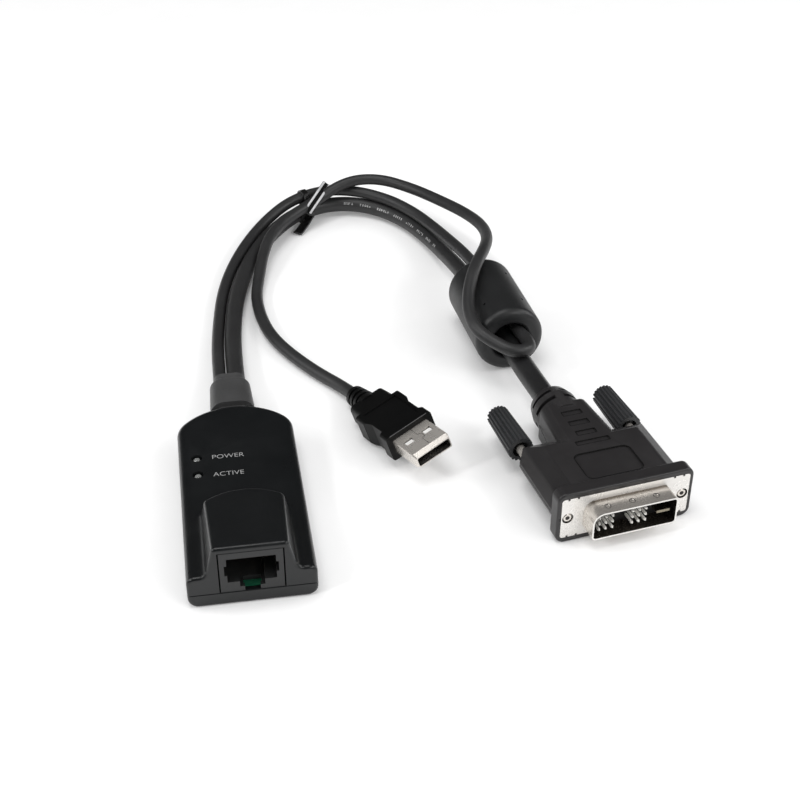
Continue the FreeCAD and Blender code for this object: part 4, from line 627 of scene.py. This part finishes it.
# ------------------------------------------------------------------ small details
def legend(word, centre, width, material):
    """A function word printed flat on the deck."""
    name = "legend_" + word.lower()
    text = bpy.data.curves.new(name, "FONT")
    text.body = word
    text.align_x, text.align_y = "CENTER", "CENTER"
    text.extrude = LEGEND_THICKNESS * MM
    text.size = LEGEND_FONT_SIZE * MM
    text.offset = -LEGEND_THINNING * MM
    ob = bpy.data.objects.new(name, text)
    bpy.context.scene.collection.objects.link(ob)
    bpy.context.view_layer.update()
    scale = (width * MM / ob.dimensions.x, LEGEND_HEIGHT * MM / ob.dimensions.y, 1)
    mesh = bpy.data.meshes.new_from_object(ob)
    bpy.data.objects.remove(ob)
    mesh.materials.clear()
    mesh.materials.append(material)
    low = min(v.co.y for v in mesh.vertices)
    high = max(v.co.y for v in mesh.vertices)
    for v in mesh.vertices:
        v.co.x *= scale[0]
        v.co.y = (v.co.y - (low + high) / 2) * scale[1]
    place = Matrix.Translation(Vector((*centre, DECK_HEIGHT + LEGEND_LIFT)) * MM)
    return placed(bpy.data.objects.new(name, mesh), matrix=place)


def cord_marks(material):
    """Worn print on the video cord: groups of short strokes that spell nothing."""
    chance = random.Random(5)
    line = [p for p in route_points(VIDEO_ROUTE, 30)
            if PRINT_FROM < p.x < PRINT_TO and p.y > PRINT_BEYOND_Y]
    toward = Vector(PRINT_SIDE).normalized()
    vertices, faces = [], []
    place, left = 0.0, 0
    for a, b in zip(line, line[1:]):
        place -= (b - a).length
        if place > 0:
            continue
        along = (b - a).normalized()
        out = (toward - along * toward.dot(along)).normalized()
        across = out.cross(along)
        middle = a + out * (VIDEO_CORD_DIAMETER / 2 + PRINT_LIFT)
        for _ in range(chance.choice((2, 3))):
            flat = chance.random() < 0.5
            size = PRINT_FLAT_STROKE if flat else PRINT_UPRIGHT_STROKE
            half = along * size[0], across * size[1]
            centre = middle + across * chance.uniform(-0.35, 0.35) * flat
            centre += along * chance.uniform(-0.2, 0.2)
            first = len(vertices)
            vertices += [centre + s * half[0] + t * half[1] for s, t in
                         ((-1, -1), (1, -1), (1, 1), (-1, 1))]
            faces.append(tuple(range(first, first + 4)))
        left = left - 1 if left else chance.choice((3, 4, 5))
        place = PRINT_STEP if left else PRINT_SPACE
    mesh_piece("cord_print", vertices, faces, material)


def usb_details(mats):
    """The rolled seam on the tube as a painted shadow line, a painted highlight along the
    cover's front edge, and the sprung tabs seen through its windows.
    """
    # the seam: a dark line, painted shade in its gap
    wire("usb_seam", [(x, y, USB_SHELL_TOP + USB_SEAM_LIFT) for x, y in USB_SEAM],
         USB_SEAM_RADIUS, mats["groove"], matrix=USB_PLUG)
    # painted highlight along the cover's front top edge
    front = [(side * USB_FRONT_HALF_WIDTH, USB_FRONT_Y, USB_FRONT_Z) for side in (-1, 1)]
    wire("usb_front_edge_highlight", front, USB_FRONT_RADIUS, mats["edge"], matrix=USB_PLUG)
    for side in (-1, 1):
        for low, place in ((False, USB_SHELL_TOP - USB_TAB_INSET), (True, USB_TAB_INSET)):
            block("usb_tab_%d_%d" % (side + 2, low), (side * USB_WINDOW_X, USB_WINDOW_Y, place),
                  USB_TAB_SIZE, mats["tab"], USB_PLUG,
                  tilt=USB_TAB_TILT if low else -USB_TAB_TILT)


def frame_line(name, centre_y, size, corner_radius, line_radius, material):
    """A painted shadow line on a sunk panel's rim: a closed line round a rectangle's edge."""
    points = []
    for k, (sx, sy) in enumerate(((1, 1), (-1, 1), (-1, -1), (1, -1))):
        corner = Vector((sx * (size[0] / 2 - corner_radius),
                         centre_y + sy * (size[1] / 2 - corner_radius), HOOD_TOP_Z))
        for step in range(5):
            angle = math.pi / 2 * (k + step / 4)
            points.append(corner
                          + Vector((math.cos(angle), math.sin(angle), 0)) * corner_radius)
    wire(name, points, line_radius, material, closed=True, matrix=VIDEO_PLUG)


def video_plug_details(mats):
    """Painted shadow lines on the sunk panels' rims, painted shade in the screws' recesses,
    painted shadow rings round the skirt's dimples, the mould line, and painted shade in the
    plate's crimped notches."""
    z = HOOD_AXIS_Z
    frame_line("label_edge", LABEL_MIDDLE, LABEL_SIZE, LABEL_CORNER, LABEL_LINE, mats["hollow"])
    frame_line("bar_edge", BAR_MIDDLE, BAR_SIZE, SLOT_CORNER, SLOT_LINE, mats["hollow"])
    for i in range(RIB_COUNT):
        frame_line("rib_edge_%d" % i, RIB_FIRST + i * RIB_PITCH, RIB_SIZE, SLOT_CORNER,
                   SLOT_LINE, mats["hollow"])
    # dark discs: painted shade in the screws' recesses
    for side, body in ((-1, "left_screw"), (1, "right_screw")):
        wire("screw_recess_%d" % (side + 2),
             [(side * SCREW_SPACING / 2, y, z) for y in SCREW_RECESS_Y], SCREW_RECESS_RADIUS,
             mats["groove"], matrix=VIDEO_PLUG, body=body)
    # dark rings: painted shadow round the dimples
    for i in (-1, 0, 1):
        ring = [(i * DIMPLE_PITCH + DIMPLE_RADIUS * math.cos(turn),
                 DIMPLE_Y + DIMPLE_RADIUS * math.sin(turn), z + SKIRT_HALF_HEIGHT)
                for turn in (math.tau * k / 24 for k in range(24))]
        wire("dimple_rim_%d" % (i + 2), ring, DIMPLE_LINE, mats["groove"], closed=True,
             matrix=VIDEO_PLUG)
    for side in (-1, 1):
        wire("mould_line_%d" % (side + 2), [(side * x, y, z) for x, y in HOOD_MOULD_LINE],
             MOULD_LINE_RADIUS, mats["plug"], matrix=VIDEO_PLUG)
        # dark blocks: painted shade in the plate's notches
        for x in NOTCH_X:
            for rim in (-1, 1):
                block("plate_notch_%d_%d_%.0f" % (side + 2, rim + 2, x),
                      (side * x, NOTCH_Y, z + rim * (PLATE_HALF_HEIGHT - NOTCH_INSET)),
                      NOTCH_SIZE, mats["groove"], VIDEO_PLUG)


# ------------------------------------------------------------------ floor and light
def softbox(name, place, size, power):
    data = bpy.data.lights.new(name, "AREA")
    data.shape = "RECTANGLE"
    data.size, data.size_y = size
    data.energy = power
    lamp = bpy.data.objects.new(name, data)
    lamp.location = place
    lamp.rotation_euler = (Vector(LAMP_AIM) - Vector(place)).to_track_quat("-Z", "Y").to_euler()
    bpy.context.scene.collection.objects.link(lamp)


def make_floor():
    """A pale floor that keeps the object's shadow and turns white towards the horizon."""
    mesh = bpy.data.meshes.new("floor")
    far = FLOOR_HALF_SIZE
    mesh.from_pydata([(-far, -far, 0), (far, -far, 0), (far, far, 0), (-far, far, 0)], [],
                     [(0, 1, 2, 3)])
    floor = bpy.data.objects.new("floor", mesh)
    bpy.context.scene.collection.objects.link(floor)
    g = Graph("floor_paper")
    shader = g.node("ShaderNodeBsdfPrincipled")
    shader.inputs["Specular IOR Level"].default_value = 0.15
    shader.inputs["Roughness"].default_value = 0.9
    g.link(g.mix_colour(g.remap(g.noise(0.02, 3.0), 0.3, 0.7, 0, 1), (0.90, 0.90, 0.90),
                        (0.92, 0.92, 0.92)), shader.inputs["Base Color"])
    camera_ray = g.node("ShaderNodeLightPath").outputs["Is Camera Ray"]
    seen = g.node("ShaderNodeEmission")
    g.link(g.remap(camera_ray, 0, 1, 0, FLOOR_LIFT), seen.inputs["Strength"])
    both = g.node("ShaderNodeAddShader")
    g.link(shader.outputs["BSDF"], both.inputs[0])
    g.link(seen.outputs["Emission"], both.inputs[1])
    reach = g.node("ShaderNodeVectorMath", operation="LENGTH")
    g.link(g.coord.outputs["Object"], reach.inputs[0])
    whiteness = g.node("ShaderNodeMath", operation="MULTIPLY")
    g.link(g.remap(reach.outputs["Value"], FLOOR_WHITE_FROM, FLOOR_WHITE_TO, 0, 1),
           whiteness.inputs[0])
    g.link(camera_ray, whiteness.inputs[1])
    blend = g.node("ShaderNodeMixShader")
    g.link(whiteness.outputs["Value"], blend.inputs[0])
    g.link(both.outputs["Shader"], blend.inputs[1])
    g.link(g.node("ShaderNodeEmission").outputs["Emission"], blend.inputs[2])
    g.link(blend.outputs["Shader"], g.out.inputs["Surface"])
    mesh.materials.append(g.mat)
    floor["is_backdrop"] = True


def make_world():
    """Soft light all round: dim in reflections, and white where the camera sees it."""
    world = bpy.data.worlds.new("studio")
    bpy.context.scene.world = world
    world.use_nodes = True
    tree = world.node_tree
    tree.nodes.clear()
    out = tree.nodes.new("ShaderNodeOutputWorld")
    path = tree.nodes.new("ShaderNodeLightPath")
    shades = {}
    for name, level in (("soft", WORLD_SOFT), ("mirrored", WORLD_MIRRORED),
                        ("seen", WORLD_SEEN)):
        shades[name] = tree.nodes.new("ShaderNodeBackground")
        shades[name].inputs["Color"].default_value = (level, level, level, 1)
    inner = tree.nodes.new("ShaderNodeMixShader")
    outer = tree.nodes.new("ShaderNodeMixShader")
    tree.links.new(path.outputs["Is Glossy Ray"], inner.inputs[0])
    tree.links.new(shades["soft"].outputs[0], inner.inputs[1])
    tree.links.new(shades["mirrored"].outputs[0], inner.inputs[2])
    tree.links.new(path.outputs["Is Camera Ray"], outer.inputs[0])
    tree.links.new(inner.outputs[0], outer.inputs[1])
    tree.links.new(shades["seen"].outputs[0], outer.inputs[2])
    tree.links.new(outer.outputs[0], out.inputs["Surface"])


# ------------------------------------------------------------------ the scene
make_camera()
bpy.context.scene.view_settings.view_transform = "Standard"
mats = make_materials()
for node, key in NODE_MATERIAL.items():
    nodes[node].data.materials.clear()
    nodes[node].data.materials.append(mats[key])
video_cord, usb_cord, sleeve = make_cords(mats)
tie = make_tie(mats)
for word, centre, width in LEGENDS:
    legend(word, centre, width, mats["print"])
cord_marks(mats["ink"])
usb_details(mats)
video_plug_details(mats)
make_floor()
for lamp in LAMPS:
    softbox(*lamp)
make_world()

write_size("with_detail", sizes)
